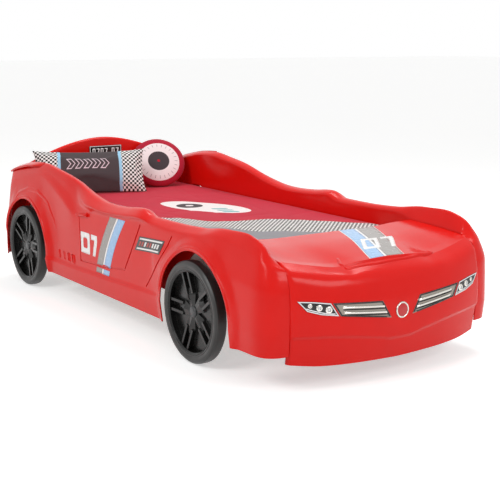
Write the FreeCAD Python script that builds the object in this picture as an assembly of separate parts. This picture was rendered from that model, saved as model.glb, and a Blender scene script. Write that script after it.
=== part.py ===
import FreeCAD, Part
import math
import os

from FreeCAD import Base

V = Base.Vector

# A car bed for children: a racing car body of thin moulded shells round a slatted bed frame.
# Millimetres. +X points to the nose, +Y to the car's left side, +Z up. The origin is the middle
# of the footprint, on the floor.

# ---------------------------------------------------------------- driving sizes
wheel_radius = 200.0
wheel_width = 52.0
wheelbase = 1632.0
front_overhang = 594.0      # front axle to the tip of the bumper
rear_overhang = 284.0       # rear axle to the back of the tail
body_half_width = 556.0     # centre to the lip of a wheel arch
mattress_length = 1900.0
mattress_width = 900.0
mattress_height = 100.0
mattress_top = 440.0

shell_wall = 5.0            # moulded body shells
seam = 0.3                  # gap between neighbouring pieces that touch
corner_radius = 106.0       # plan radius of the body's four corners
corner_fullness = 0.10      # how much squarer than a true round they are
side_depth = 102.0          # flank lip to the inner wall of a side shell
arch_radius = 240.0         # wheel arch opening
arch_shift = 22.0           # the opening sits a little ahead of the axle
arch_flare = 36.0           # the opening's front edge leans forward down to the sill
front_arch_reach = 26.0     # the front opening is this much longer ahead of its wheel
arch_lip = 46.0             # width of the rolled lip round an arch
arch_roll = 15.0            # how far that lip stands out of the flank
tyre_floor_gap = 2.0        # the wheels hang just clear of the floor
groove_width = 7.0
groove_depth = 3.4

length = front_overhang + wheelbase + rear_overhang
x_nose = length / 2
x_tail = -length / 2
x_front = x_nose - front_overhang
x_rear = x_tail + rear_overhang
x_mid = (x_front + x_rear) / 2
axle_height = wheel_radius + tyre_floor_gap

os.makedirs("parts", exist_ok=True)


# ---------------------------------------------------------------- helpers
def save(name, shape):
    shape.exportStep("parts/" + name + ".step")


def group(shapes):
    return Part.makeCompound(shapes)


def box(x0, x1, y0, y1, z0, z1):
    return Part.makeBox(x1 - x0, y1 - y0, z1 - z0, V(x0, y0, z0))


def cylinder_y(x, y0, y1, z, radius):
    return Part.makeCylinder(radius, y1 - y0, V(x, y0, z), V(0, 1, 0))


def mirrored(shape):
    return shape.mirror(V(0, 0, 0), V(0, 1, 0))


def smooth(t):
    t = min(1.0, max(0.0, t))
    return t * t * (3 - 2 * t)


def curve_through(points):
    """A smooth curve value(x) through (x, value) points that never overshoots them."""
    xs = [p[0] for p in points]
    ys = [p[1] for p in points]
    slopes = [(ys[i + 1] - ys[i]) / (xs[i + 1] - xs[i]) for i in range(len(xs) - 1)]
    tangents = [slopes[0]]
    for a, b in zip(slopes, slopes[1:]):
        tangents.append(0.0 if a * b <= 0 else 2 * a * b / (a + b))
    tangents.append(slopes[-1])

    def value(x):
        if x <= xs[0]:
            return ys[0]
        if x >= xs[-1]:
            return ys[-1]
        i = max(k for k in range(len(xs) - 1) if xs[k] <= x)
        h = xs[i + 1] - xs[i]
        t = (x - xs[i]) / h
        return ((1 + 2 * t) * (1 - t) ** 2 * ys[i] + t * (1 - t) ** 2 * h * tangents[i]
                + t * t * (3 - 2 * t) * ys[i + 1] + t * t * (t - 1) * h * tangents[i + 1])
    return value


def rounded_path(corners, radii, per_line, per_arc):
    """Points along a polyline whose inner corners are rounded; the counts never change."""
    points = [corners[0]]
    start = corners[0]
    for i in range(1, len(corners)):
        end = corners[i]
        if i < len(corners) - 1:
            before, at, after = corners[i - 1], corners[i], corners[i + 1]
            d0 = (before[0] - at[0], before[1] - at[1])
            d1 = (after[0] - at[0], after[1] - at[1])
            l0, l1 = math.hypot(*d0), math.hypot(*d1)
            reach = min(radii[i], 0.45 * l0, 0.45 * l1)
            end = (at[0] + d0[0] / l0 * reach, at[1] + d0[1] / l0 * reach)
            leave = (at[0] + d1[0] / l1 * reach, at[1] + d1[1] / l1 * reach)
        for k in range(1, per_line + 1):
            t = k / per_line
            points.append((start[0] + (end[0] - start[0]) * t, start[1] + (end[1] - start[1]) * t))
        if i < len(corners) - 1:
            for k in range(1, per_arc + 1):
                t = k / per_arc
                points.append(((1 - t) ** 2 * end[0] + 2 * t * (1 - t) * at[0] + t * t * leave[0],
                               (1 - t) ** 2 * end[1] + 2 * t * (1 - t) * at[1] + t * t * leave[1]))
            start = leave
    return points


def offset_path(points, distance):
    """The path moved to its right-hand side by the distance."""
    moved = []
    last = len(points) - 1
    for i, p in enumerate(points):
        a = points[max(0, i - 1)]
        b = points[min(last, i + 1)]
        dx, dz = b[0] - a[0], b[1] - a[1]
        size = math.hypot(dx, dz)
        moved.append((p[0] + dz / size * distance, p[1] - dx / size * distance))
    return moved


def knots_for(count, degree):
    spans = count - degree
    return [float(k) for k in range(spans + 1)], [degree + 1] + [1] * (spans - 1) + [degree + 1]


def skin(rows):
    """A smooth surface that follows a grid of points as its control net; two rows make a strip."""
    degree = 1 if len(rows) == 2 else 3
    u_knots, u_repeats = knots_for(len(rows), degree)
    v_knots, v_repeats = knots_for(len(rows[0]), 3)
    surface = Part.BSplineSurface()
    surface.buildFromPolesMultsKnots(rows, u_repeats, v_repeats, u_knots, v_knots, False, False, degree, 3)
    return surface.toShape()


def layer(outer, inner):
    """The closed solid between two grids of points with the same layout."""
    strips = [[outer[0], inner[0]], [outer[-1], inner[-1]],
              [[row[0] for row in outer], [row[0] for row in inner]],
              [[row[-1] for row in outer], [row[-1] for row in inner]]]
    shell = Part.makeCompound([skin(outer), skin(inner)] + [skin(strip) for strip in strips])
    shell.sewShape()
    solid = Part.makeSolid(shell.Shells[0])
    if solid.Volume < 0:
        solid.reverse()
    return solid


# ---------------------------------------------------------------- side shells
# A side is a section (inset from the lip line, height) carried along the plan line of the body:
# a quarter round at the tail, the straight flank, and a quarter round at the nose. A station is
# the distance along that line, equal to X on the straight flank.
x_fender_nose = x_nose - 74.0
tail_arc_x = x_tail + corner_radius
nose_arc_x = x_fender_nose - corner_radius
arc_centre_y = body_half_width - corner_radius
arc_length = corner_radius * math.pi / 2
module_half_width = arc_centre_y - seam     # nose and tail shells fit between the sides


def place_on_side(station, inset, height):
    if station < tail_arc_x:
        angle = math.pi / 2 + (tail_arc_x - station) / corner_radius
        centre = tail_arc_x
    elif station > nose_arc_x:
        angle = math.pi / 2 - (station - nose_arc_x) / corner_radius
        centre = nose_arc_x
    else:
        return V(station, body_half_width - inset, height)
    reach = (corner_radius - inset) * (1 + corner_fullness * math.sin(2 * angle) ** 2)
    return V(centre + reach * math.cos(angle), arc_centre_y + reach * math.sin(angle), height)


def rail(*points):
    """A line along the side, through (station, inset, height)."""
    inset = curve_through([(p[0], p[1]) for p in points])
    height = curve_through([(p[0], p[2]) for p in points])
    return lambda s: (inset(s), height(s))


s_tail = tail_arc_x - arc_length
s_nose = nose_arc_x + arc_length
sill_bottom = 116.0
inner_wall_bottom = 215.0

inner_edge = rail((s_tail, side_depth, 570), (tail_arc_x, side_depth, 570), (x_rear - 100, side_depth, 588), (x_rear + 60, side_depth, 614),
                  (x_rear + 185, side_depth, 620), (x_rear + 320, side_depth, 606), (x_mid - 281, side_depth, 574),
                  (x_mid - 194, side_depth, 551), (x_mid - 91, side_depth, 529), (x_mid + 60, side_depth, 513),
                  (x_mid + 229, side_depth, 518), (x_mid + 375, side_depth, 530), (x_mid + 440, side_depth, 506),
                  (x_front + 20, side_depth, 512), (x_front + 70, side_depth, 508), (x_front + 135, side_depth, 488),
                  (nose_arc_x - 10, side_depth, 476), (s_nose, side_depth, 476))
crest = rail((s_tail, 70, 566), (tail_arc_x - 60, 70, 574), (x_rear - 130, 66, 598), (x_rear + 60, 64, 630),
             (x_rear + 185, 64, 637), (x_rear + 320, 62, 622), (x_mid - 371, 62, 608), (x_mid - 281, 62, 590),
             (x_mid - 194, 60, 567), (x_mid - 91, 58, 545), (x_mid + 20, 58, 530), (x_mid + 110, 58, 528),
             (x_mid + 229, 58, 534), (x_mid + 350, 58, 547), (x_mid + 395, 60, 545), (x_mid + 440, 66, 522),
             (x_mid + 640, 70, 521), (x_front + 20, 76, 530), (x_front + 100, 76, 545), (x_front + 184, 76, 556),
             (x_front + 296, 74, 562), (nose_arc_x - 30, 72, 546), (nose_arc_x + 30, 70, 520),
             (nose_arc_x + 100, 68, 482), (s_nose, 68, 458))
belt_top = rail((s_tail, 48, 545), (x_rear - 60, 50, 592), (x_rear + 150, 50, 614), (x_mid - 371, 48, 572),
                (x_mid - 260, 52, 540), (x_mid - 195, 34, 512), (x_mid - 90, 16, 500), (x_mid + 60, 14, 492),
                (x_mid + 229, 14, 500), (x_mid + 400, 16, 512), (x_mid + 460, 34, 500), (x_mid + 640, 34, 492),
                (x_front + 20, 36, 502), (x_front + 130, 40, 520), (x_front + 240, 42, 508),
                (nose_arc_x, 40, 484), (nose_arc_x + 90, 36, 456), (s_nose, 30, 444))
belt_foot = rail((s_tail, 40, 530), (x_rear - 60, 44, 580), (x_rear + 150, 46, 596), (x_mid - 371, 44, 540),
                 (x_mid - 260, 42, 496), (x_mid - 195, 38, 480), (x_mid - 90, 35, 473), (x_mid + 60, 35, 472),
                 (x_mid + 229, 35, 480), (x_mid + 400, 35, 492), (x_mid + 460, 33, 487), (x_mid + 640, 33, 478),
                 (x_front + 20, 34, 484), (x_front + 132, 32, 486), (x_front + 233, 28, 436),
                 (nose_arc_x, 24, 424), (nose_arc_x + 90, 20, 420), (s_nose, 14, 410))
shoulder = rail((s_tail, 26, 450), (x_rear - 90, 34, 540), (x_rear + 147, 38, 578), (x_mid - 430, 28, 520),
                (x_mid - 309, 26, 462), (x_mid - 230, 33, 432), (x_mid - 90, 36, 440), (x_mid + 400, 36, 440),
                (x_mid + 640, 34, 430), (x_front + 20, 24, 440), (x_front + 132, 20, 436), (x_front + 233, 16, 398),
                (nose_arc_x, 13, 388), (nose_arc_x + 90, 8, 384), (s_nose, 3, 370))
waist = rail((s_tail, 8, 340), (x_rear - 90, 16, 360), (x_rear + 40, 18, 380), (x_rear + 260, 26, 360),
             (x_rear + 380, 37, 335), (x_mid + 500, 36, 335), (x_front - 330, 30, 335), (x_front - 200, 18, 345),
             (x_front + 200, 13, 345), (nose_arc_x, 10, 330), (s_nose, 0, 320))
sill_top = rail((s_tail, 0, 215), (x_rear, 12, 215), (x_rear + 260, 26, 195), (x_rear + 400, 36, 190),
                (x_mid + 29, 36, 200), (x_mid + 384, 35, 214), (x_front - 330, 30, 218), (x_front - 200, 16, 220),
                (x_front + 200, 12, 220), (nose_arc_x, 6, 220), (s_nose, 0, 220))
sill_face = rail((s_tail, 2, 203), (x_rear, 12, 203), (x_rear + 260, 20, 183), (x_rear + 400, 25, 178),
                 (x_mid + 29, 25, 188), (x_mid + 384, 25, 202), (x_front - 330, 22, 206), (x_front - 200, 15, 208),
                 (x_front + 200, 12, 208), (nose_arc_x, 6, 208), (s_nose, 0, 208))
bottom = rail((s_tail, 12, 130), (x_rear, 14, 120), (x_rear + 300, 26, sill_bottom), (x_front - 330, 28, sill_bottom),
              (x_front + 200, 14, 132), (nose_arc_x, 12, 138), (s_nose, 6, 138))

side_rails = (inner_edge, crest, belt_top, belt_foot, shoulder, waist, sill_top, sill_face, bottom)
side_rounding = (0, 14, 26, 9, 9, 16, 60, 7, 7, 0)


def forward_reach(x):
    """How much longer a wheel opening is ahead of its wheel than behind it."""
    return front_arch_reach if x == x_front else 0.0


def arch_bulge(station, height):
    """How far the rolled lip round a wheel arch stands out of the flank."""
    most = 0.0
    for x in (x_rear, x_front):
        along = station - x - arch_shift
        if along > 0:
            along *= arch_radius / (arch_radius + forward_reach(x))
        ring = (math.hypot(along, height - axle_height) - arch_radius) / arch_lip
        if height > sill_bottom:
            most = max(most, arch_roll * (1 - smooth((ring - 0.45) / 0.7)))
    return most


def side_section(station, depth):
    corners = [(side_depth, inner_wall_bottom)] + [r(station) for r in side_rails]
    path = rounded_path(corners, side_rounding, 2, 3)
    shaped = []
    for inset, height in path:
        if inset < 45:
            inset = max(0.0, inset - arch_bulge(station, height))
        shaped.append((inset, height))
    # the path runs from the inner wall over the crest and down the flank: inside is on its left
    return offset_path(shaped, -depth)


def side_stations():
    """Close together round the wheel arches, wider apart between them."""
    stations = [s_tail]
    while stations[-1] < s_nose - 40:
        near = min(abs(stations[-1] + 17 - x - arch_shift) for x in (x_rear, x_front))
        stations.append(stations[-1] + (17.0 if near < arch_radius + 110 else 32.0))
    return stations + [s_nose]


def side_rows(depth):
    return [[place_on_side(s, w, z) for w, z in side_section(s, depth)] for s in side_stations()]


def side_layer(depth_outer, depth_inner):
    return layer(side_rows(depth_outer), side_rows(depth_inner))


def plate_xz(outline, y0, y1):
    """A prism along Y over an outline of (x, z) points."""
    points = [V(x, y0, z) for x, z in outline]
    wire = Part.makePolygon(points + [points[0]])
    return Part.Face(wire).extrude(V(0, y1 - y0, 0))


def ribbon_prism(path, width, y0, y1):
    """A prism along Y over a band of the given width that follows a path of (x, z) points."""
    sides = ([], [])
    for i, (x, z) in enumerate(path):
        before = path[max(0, i - 1)]
        after = path[min(len(path) - 1, i + 1)]
        into = math.atan2(z - before[1], x - before[0]) if i else math.atan2(after[1] - z, after[0] - x)
        out = math.atan2(after[1] - z, after[0] - x) if i < len(path) - 1 else into
        middle = (into + out) / 2 + math.pi / 2
        reach = width / 2 / math.cos((out - into) / 2)
        for side, points in zip((1, -1), sides):
            points.append((x + side * reach * math.cos(middle), z + side * reach * math.sin(middle)))
    return plate_xz(sides[0] + sides[1][::-1], y0, y1)


def wheel_opening(x):
    """A half round over the wheel, with straight sides down past the floor line."""
    centre = V(x + arch_shift, side_cut_in, axle_height)
    left, right = V(-arch_radius, 0, 0), V(arch_radius, 0, 0)
    top = centre + V(0, 0, arch_radius)
    front = centre + right + V(forward_reach(x), 0, 0)
    rear_arc = Part.Arc(centre + left, centre + (left + V(0, 0, arch_radius)) * math.sqrt(0.5), top).toShape()
    front_arc = Part.BezierCurve()
    pull = 0.5523
    front_arc.setPoles([top, top + (front - centre) * pull, front + V(0, 0, arch_radius * pull), front])
    low = V(0, 0, -axle_height - 10)
    front_foot = front + low + V(arch_flare, 0, 0)
    sides = [Part.makeLine(front, front_foot), Part.makeLine(front_foot, centre + left + low),
             Part.makeLine(centre + left + low, centre + left)]
    return Part.Face(Part.Wire([rear_arc, front_arc.toShape()] + sides)).extrude(V(0, side_cut_out - side_cut_in, 0))


side_cut_in = body_half_width - side_depth - 20
side_cut_out = body_half_width + 60

# door, vents and trim on the flank, as outlines of (x, z)
door_foot = 228.0
door_head = 470.0
door_line = [(x_mid - 205, door_head - 30), (x_mid - 205, door_foot), (x_mid + 30, door_foot + 10),
             (x_mid + 236, door_foot + 34), (x_mid + 385, door_head + 8)]
panel_line = [(x_mid + 650, door_head), (x_mid + 590, 396), (x_mid + 430, 226)]
plate_outline = [(x_mid + 334, 365), (x_mid + 551, 381), (x_mid + 592, 441), (x_mid + 378, 428)]
vent_count, vent_pitch, vent_width, vent_x = 3, 46.0, 17.0, x_mid - 392.0
handle_outline = [(x_mid - 182, 436), (x_mid - 112, 441), (x_mid - 118, 453), (x_mid - 186, 449)]


def make_left_side():
    shell = side_layer(0, shell_wall)
    grooves = [ribbon_prism(line, groove_width, arc_centre_y + 20, side_cut_out)
               for line in (door_line, panel_line)]
    for i in range(vent_count):
        x = vent_x + vent_pitch * i
        grooves.append(ribbon_prism([(x, 240), (x + 12, 204)], vent_width, arc_centre_y + 20, side_cut_out))
    pressed = side_layer(-2, groove_depth)
    shell = shell.cut([g.common(pressed) for g in grooves])
    handle = plate_xz(handle_outline, arc_centre_y + 20, side_cut_out).common(side_layer(-9, 2))
    shell = shell.fuse(handle).cut([wheel_opening(x) for x in (x_rear, x_front)])
    holes = [cylinder_y(x, side_cut_in, side_cut_out - 120, screw_height, screw_radius + seam)
             for x in shell_screw_x]
    return shell.cut(holes)


def side_plate():
    band = side_layer(-seam - 1.5, -seam)
    return plate_xz(plate_outline, arc_centre_y + 20, side_cut_out).common(band)


# ---------------------------------------------------------------- nose shell
cowl_x = x_front + 118.0
nose_bow = 60.0             # how far the bumper curves back from its middle to its ends


def bow(y):
    edge = max(0.0, (abs(y) - module_half_width + 14) / 14)
    return nose_bow * (abs(y) / module_half_width) ** 2.6, 12 * (1 - math.sqrt(max(0.0, 1 - min(1, edge) ** 2)))


def across(*points):
    return curve_through([(f * module_half_width, z) for f, z in points])


cowl_z = across((0, 478), (0.5, 478), (0.9, 487), (1, 487))
bonnet_z = across((0, 474), (0.5, 470), (0.9, 479), (1, 480))
ledge_z = across((0, 447), (0.3, 442), (0.49, 431), (0.75, 446), (1, 466))
ledge_drop = across((0, 9), (0.42, 9), (0.5, 0.6), (1, 0.6))
roll_z = across((0, 404), (0.6, 404), (1, 432))
lamp_z = across((0, 318), (1, 340))
brow_z = across((0, 236), (1, 250))
crease_z = across((0, 166), (0.1, 166), (0.2, 176), (0.7, 206), (0.95, 212), (1, 212))
lip_z = across((0, 80), (0.7, 90), (1, 106))


def nose_section(y, depth):
    back, edge = bow(y)
    a = abs(y)
    ledge_x = x_nose - 84 - back - edge * 0.3
    corners = [(cowl_x, inner_wall_bottom), (cowl_x, cowl_z(a)), (cowl_x + 175, bonnet_z(a)),
               (ledge_x - 40, ledge_z(a) + 4), (ledge_x, ledge_z(a)), (ledge_x + 4, ledge_z(a) - ledge_drop(a)),
               (x_nose - 24 - back - edge * 0.7, roll_z(a) - ledge_drop(a) * 0.3),
               (x_nose - 5 - back - edge, lamp_z(a)), (x_nose - back - edge, brow_z(a)),
               (x_nose - 1 - back - edge, crease_z(a)), (x_nose - 11 - back - edge, crease_z(a) - 13),
               (x_nose - 26 - back - edge, lip_z(a))]
    rounding = (0, 12, 60, 8, 1.5, 1.5, 40, 30, 30, 4, 4, 0)
    return offset_path(rounded_path(corners, rounding, 2, 3), depth)


def nose_layer(depth_outer, depth_inner):
    count = 44
    steps = [(2 * i / count - 1) for i in range(count + 1)]
    edges = [1 - 0.0045 * k for k in range(8)]
    fractions = sorted(set(steps + edges + [-f for f in edges]))
    rows = [[[V(x, f * module_half_width, z) for x, z in nose_section(f * module_half_width, depth)]
             for f in fractions] for depth in (depth_outer, depth_inner)]
    return layer(rows[0], rows[1])


def plate_yz(outline, x0, x1):
    points = [V(x0, y, z) for y, z in outline]
    return Part.Face(Part.makePolygon(points + [points[0]])).extrude(V(x1 - x0, 0, 0))


grille_outline = [(50, 240), (270, 272), (300, 321), (89, 306)]
lamp_outline = [(277, 273), (345, 283), (398, 300), (431, 338), (372, 333), (307, 322)]
badge_radius, badge_z = 30.0, 262.0
pocket_depth = 3.0
insert_fit = 0.4


def shrunk(outline, gap):
    wire = Part.makePolygon([V(0, y, z) for y, z in outline + outline[:1]])
    smaller = wire.makeOffset2D(-gap)
    return [(v.Y, v.Z) for v in smaller.OrderedVertexes]


def nose_insert(outline, gap, layer_solid):
    return plate_yz(shrunk(outline, gap) if gap else outline, x_nose - 200, x_nose + 40).common(layer_solid)


def badge_tool(radius):
    return Part.makeCylinder(radius, 240, V(x_nose - 200, 0, badge_z), V(1, 0, 0))


# ---------------------------------------------------------------- tail shell with the headboard
head_x = x_tail + 84.0      # the headboard's face towards the bed
head_top = 708.0
head_drop = 133.0


def tail_section(y, depth):
    top = head_top - head_drop * (abs(y) / module_half_width) ** 1.8
    corners = [(head_x, inner_wall_bottom), (head_x, top - 3), (head_x - 20, top + 3), (head_x - 36, top - 8),
               (head_x - 38, 553), (x_tail + 38, 541), (x_tail + 34, 520), (x_tail + 26, 450),
               (x_tail + 7, 340), (x_tail, 230), (x_tail + 11, 130)]
    rounding = (0, 12, 12, 12, 8, 10, 10, 40, 60, 40, 0)
    return offset_path(rounded_path(corners, rounding, 2, 3), -depth)


def tail_layer(depth_outer, depth_inner):
    count = 24
    rows = [[[V(x, (2 * i / count - 1) * module_half_width, z)
              for x, z in tail_section((2 * i / count - 1) * module_half_width, depth)]
             for i in range(count + 1)] for depth in (depth_outer, depth_inner)]
    return layer(rows[0], rows[1])


# ---------------------------------------------------------------- spoiler lip round the tail
lip_reach = 30.0
lip_thickness = 9.0
lip_fall = 12.0             # the lip slopes down to its outer edge
lip_front = x_rear + 175.0
lip_steps = 4


def side_lip():
    top, under = [], []
    first = s_tail + seam
    for i in range(31):
        s = first + (lip_front - first) * i / 30
        w, z = crest(s)
        out = lip_reach * smooth((lip_front + 25 - s) / 120) + 18 * smooth((tail_arc_x - s) / arc_length)
        for row, drop in ((top, 0), (under, lip_thickness)):
            row.append([place_on_side(s, w - 2 - out * k / lip_steps, z - 1 - lip_fall * k / lip_steps - drop)
                        for k in range(lip_steps + 1)])
    return layer(top, under).cut(side_layer(-seam, 14))


def tail_lip():
    z = crest(s_tail)[1]
    back = head_x - 38 - seam
    reach = back - x_tail - 20
    rows = [[[V(back - reach * k / lip_steps, module_half_width * (i / 8 - 1), z - 1 - lip_fall * k / lip_steps - drop)
              for k in range(lip_steps + 1)] for i in range(17)] for drop in (0, lip_thickness)]
    return layer(rows[0], rows[1]).cut(tail_layer(-seam, shell_wall))


# ---------------------------------------------------------------- bed frame
rail_thickness = 30.0
rail_height = 100.0
slat_thickness = 18.0
slat_width = 68.0
slat_count = 14
leg_size = 56.0
foot_height = 8.0
beam_width = 44.0
spread_thickness = 2.0
mattress_bottom = mattress_top - spread_thickness - seam - mattress_height
rail_top = mattress_bottom - slat_thickness
rail_bottom = rail_top - rail_height
rail_outer = body_half_width - side_depth - seam
rail_inner = rail_outer - rail_thickness
head_rail_x = head_x + seam
foot_rail_x = cowl_x - seam
screw_radius = 2.5
screw_height = rail_top - 30
shell_screw_x = [x_mid - 480, x_mid - 160, x_mid + 160, x_mid + 480]
holder_width, holder_height, holder_wall = 30.0, 26.0, 3.0
slat_fit = 0.3
frame_gap = 0.2


def side_rail():
    body = box(head_rail_x + rail_thickness, foot_rail_x - rail_thickness, rail_inner, rail_outer,
               rail_bottom, rail_top)
    return body.cut([cylinder_y(x, rail_inner - 1, rail_outer + 1, screw_height, screw_radius)
                     for x in shell_screw_x])


def end_rail(x0):
    return box(x0, x0 + rail_thickness, -rail_outer, rail_outer, rail_bottom, rail_top)


def slat_positions():
    first = head_rail_x + rail_thickness + 70
    last = foot_rail_x - rail_thickness - 70
    return [first + (last - first) * i / (slat_count - 1) for i in range(slat_count)]


def slats():
    reach = rail_outer - holder_wall - 1
    return group([box(x - slat_width / 2, x + slat_width / 2, -reach, reach, rail_top, mattress_bottom)
                  for x in slat_positions()])


def slat_holders():
    """Plastic caps on the side rail, each open towards the bed, with a slat end in it."""
    holders = []
    half = slat_width / 2 + holder_wall
    for x in slat_positions():
        end = box(x - half, x + half, rail_outer - holder_wall, rail_outer, rail_top, mattress_bottom - 1)
        cheeks = [box(x + side * (half - holder_wall / 2 + slat_fit) - holder_wall / 2,
                      x + side * (half - holder_wall / 2 + slat_fit) + holder_wall / 2,
                      rail_inner, rail_outer, rail_top, mattress_bottom - 1) for side in (-1, 1)]
        holders.append(end.fuse(cheeks))
    return group(holders)


leg_x = [x_rear - 140, x_front - 140]
centre_leg_x = [x_mid - 600, x_mid, x_mid + 600]


def leg(x, y, top):
    return box(x - leg_size / 2, x + leg_size / 2, y - leg_size / 2, y + leg_size / 2, foot_height, top)


def foot(x, y):
    return Part.makeCylinder(leg_size * 0.4, foot_height, V(x, y, 0))


leg_y = rail_outer - leg_size / 2
leg_places = [(x, side * leg_y) for x in leg_x for side in (-1, 1)]
beam_bottom = rail_top - 60


def centre_beam():
    return box(head_rail_x + rail_thickness, foot_rail_x - rail_thickness, -beam_width / 2, beam_width / 2,
               beam_bottom, rail_top)


# ---------------------------------------------------------------- wheels
wheel_outer_y = body_half_width - 7.0
wheel_inner_y = wheel_outer_y - wheel_width
rim_radius = 165.0
spoke_count = 5
axle_radius = 8.0
running_fit = 0.08
hub_radius = 27.0
hub_front_y = wheel_outer_y - 22.0
spoke_depth = 12.0
wheel_play = 0.5
cap_radius = 23.0
screw_head_radius = 11.0
bracket_thickness = 6.0
bracket_y = rail_outer + bracket_thickness


def revolved(profile, x, z):
    """A profile of (radius, y) points turned round the wheel axis."""
    points = [V(x + r, y, z) for r, y in profile]
    face = Part.Face(Part.makePolygon(points + [points[0]]))
    return face.revolve(V(x, 0, z), V(0, 1, 0), 360)


def tyre(x):
    y0, y1, r = wheel_inner_y, wheel_outer_y, wheel_radius
    inner = rim_radius + 0.2
    profile = [(inner, y0 + 3), (r - 16, y0), (r - 8, y0 + 1.5), (r - 1.5, y0 + 8), (r, y0 + 16), (r, y1 - 16),
               (r - 1.5, y1 - 8), (r - 8, y1 - 1.5), (r - 16, y1), (inner + 12, y1 - 1), (inner + 7, y1 - 3),
               (inner + 4, y1 - 1.5), (inner, y1 - 2.5)]
    return revolved(profile, x, axle_height)


def rim(x, first_spoke):
    """A dish with five double-bar spokes that spring from a folded star round the hub."""
    y0, y1 = wheel_inner_y, wheel_outer_y
    z = axle_height
    barrel = revolved([(rim_radius - 5, y0 + 6), (rim_radius, y0 + 4), (rim_radius, y1 - 3),
                       (rim_radius - 3, y1 - 2), (rim_radius - 9, y1 - 7), (rim_radius - 9, y1 - 12),
                       (rim_radius - 5, y1 - 14)], x, z)
    back = hub_front_y - spoke_depth
    dish = revolved([(hub_radius - 2, back - 2), (rim_radius - 3, back - 2), (rim_radius - 3, back + 2),
                     (hub_radius - 2, back + 2)], x, z)
    hub = cylinder_y(x, y0 + wheel_play, hub_front_y, z, hub_radius)
    parts = [dish, hub]
    bar_half, bar_gap = 8.5, 12.0
    fork, tip = 84.0, rim_radius - 4
    front_in, front_out = hub_front_y + 1, y1 - 10
    for k in range(spoke_count):
        arm = []
        for side in (-1, 1):
            centre = side * (bar_gap + bar_half)
            arm.append(bar_solid(fork - 14, tip, centre, bar_half, back, front_in + 4, front_out))
        arm.append(web_solid(hub_radius - 8, fork + 10, bar_gap + 2 * bar_half, back, front_in, front_in + 5))
        for piece in arm:
            piece.rotate(V(0, 0, 0), V(0, 1, 0), -(first_spoke + 360 / spoke_count * k))
            piece.translate(V(x, 0, z))
            parts.append(piece)
    body = barrel.fuse(parts)
    bore = cylinder_y(x, y0 - 5, y1 + 5, z, axle_radius + running_fit)
    counterbore = cylinder_y(x, hub_front_y - 9, y1 + 5, z, screw_head_radius + 4)
    cap_seat = cylinder_y(x, hub_front_y, y1 + 5, z, cap_radius + seam)
    return body.cut([bore, counterbore, cap_seat]).removeSplitter()


def bar_solid(r0, r1, centre, half, back, front0, front1):
    """A straight spoke bar along +X whose front rises from the hub to the rim."""
    ends = []
    for r, front in ((r0, front0), (r1, front1)):
        ends.append(Part.makePolygon([V(r, back, centre - half), V(r, back, centre + half),
                                      V(r, front, centre + half - 3), V(r, front, centre - half + 3),
                                      V(r, back, centre - half)]))
    return Part.makeLoft(ends, True, True)


def web_solid(r0, r1, half, back, front0, front1):
    """The folded web of one spoke: a ridge that fades from the hub out to the fork."""
    ends = []
    for r, width, front, fold in ((r0, 16, front0, 2), (r1 - 30, half + 2, front1, 9),
                                  (r1, half * 0.6, front1 - 4, 8)):
        ends.append(Part.makePolygon([V(r, back, -width), V(r, back, width), V(r, front - fold, width),
                                      V(r, front, 0), V(r, front - fold, -width), V(r, back, -width)]))
    return Part.makeLoft(ends, True, True)



def hub_cap(x):
    y = hub_front_y
    r = cap_radius
    cap = revolved([(0, y + seam + 4.5), (0, y + seam + 8), (r * 0.6, y + seam + 7), (r * 0.9, y + seam + 4.5),
                    (r, y + seam + 1.5), (r, y + seam), (r - 3, y + seam), (r - 3, y + seam + 2),
                    (r * 0.7, y + seam + 4.5)], x, axle_height)
    return cap


def axle(x):
    """A stub axle: flange on the bracket, shoulder, journal, and a retaining screw at its end."""
    y_shoulder = wheel_inner_y
    z = axle_height
    shoulder = cylinder_y(x, bracket_y, y_shoulder, z, axle_radius + 6)
    journal = cylinder_y(x, bracket_y, hub_front_y - 9 + wheel_play, z, axle_radius)
    return shoulder.fuse(journal)


def axle_screw(x):
    y = hub_front_y - 9 + wheel_play
    head = cylinder_y(x, y, y + 4, axle_height, screw_head_radius)
    recess = Part.makeCylinder(3, 2.5, V(x, y + 1.5, axle_height), V(0, 1, 0))
    return head.cut(recess)


def axle_bracket(x):
    plate = box(x - 60, x + 60, rail_outer, bracket_y, axle_height - 45, rail_top - 10)
    return plate


# ---------------------------------------------------------------- bedding
mattress_head = head_x + 4.0
mattress_foot = mattress_head + mattress_length
spread_hem = 46.0


def rounded_slab(x0, x1, half, z0, z1, corner, edge):
    slab = box(x0, x1, -half, half, z0, z1)
    upright = [e for e in slab.Edges if abs(e.Vertexes[0].Z - e.Vertexes[-1].Z) > 1]
    slab = slab.makeFillet(corner, upright)
    level = [e for e in slab.Edges if abs(e.BoundBox.ZMax - e.BoundBox.ZMin) < 0.01]
    return slab.makeFillet(edge, level) if edge else slab


def mattress():
    return rounded_slab(mattress_head, mattress_foot, mattress_width / 2, mattress_bottom,
                        mattress_bottom + mattress_height, 40, 14)


def bedspread():
    """Covers the mattress, with a hem down its foot end and its long sides."""
    top = mattress_top
    inner_top = mattress_bottom + mattress_height + seam
    half = mattress_width / 2 + seam
    outer = rounded_slab(mattress_head - 1, mattress_foot + seam + spread_thickness, half + spread_thickness,
                         top - spread_hem - 30, top, 42, 16)
    inner = rounded_slab(mattress_head - 200, mattress_foot + seam, half, top - 400, inner_top, 40, 14)
    cloth = outer.cut(inner)
    return cloth.common(box(mattress_head + 1, mattress_foot + 50, -half - 50, half + 50, top - spread_hem, top + 5))


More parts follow.
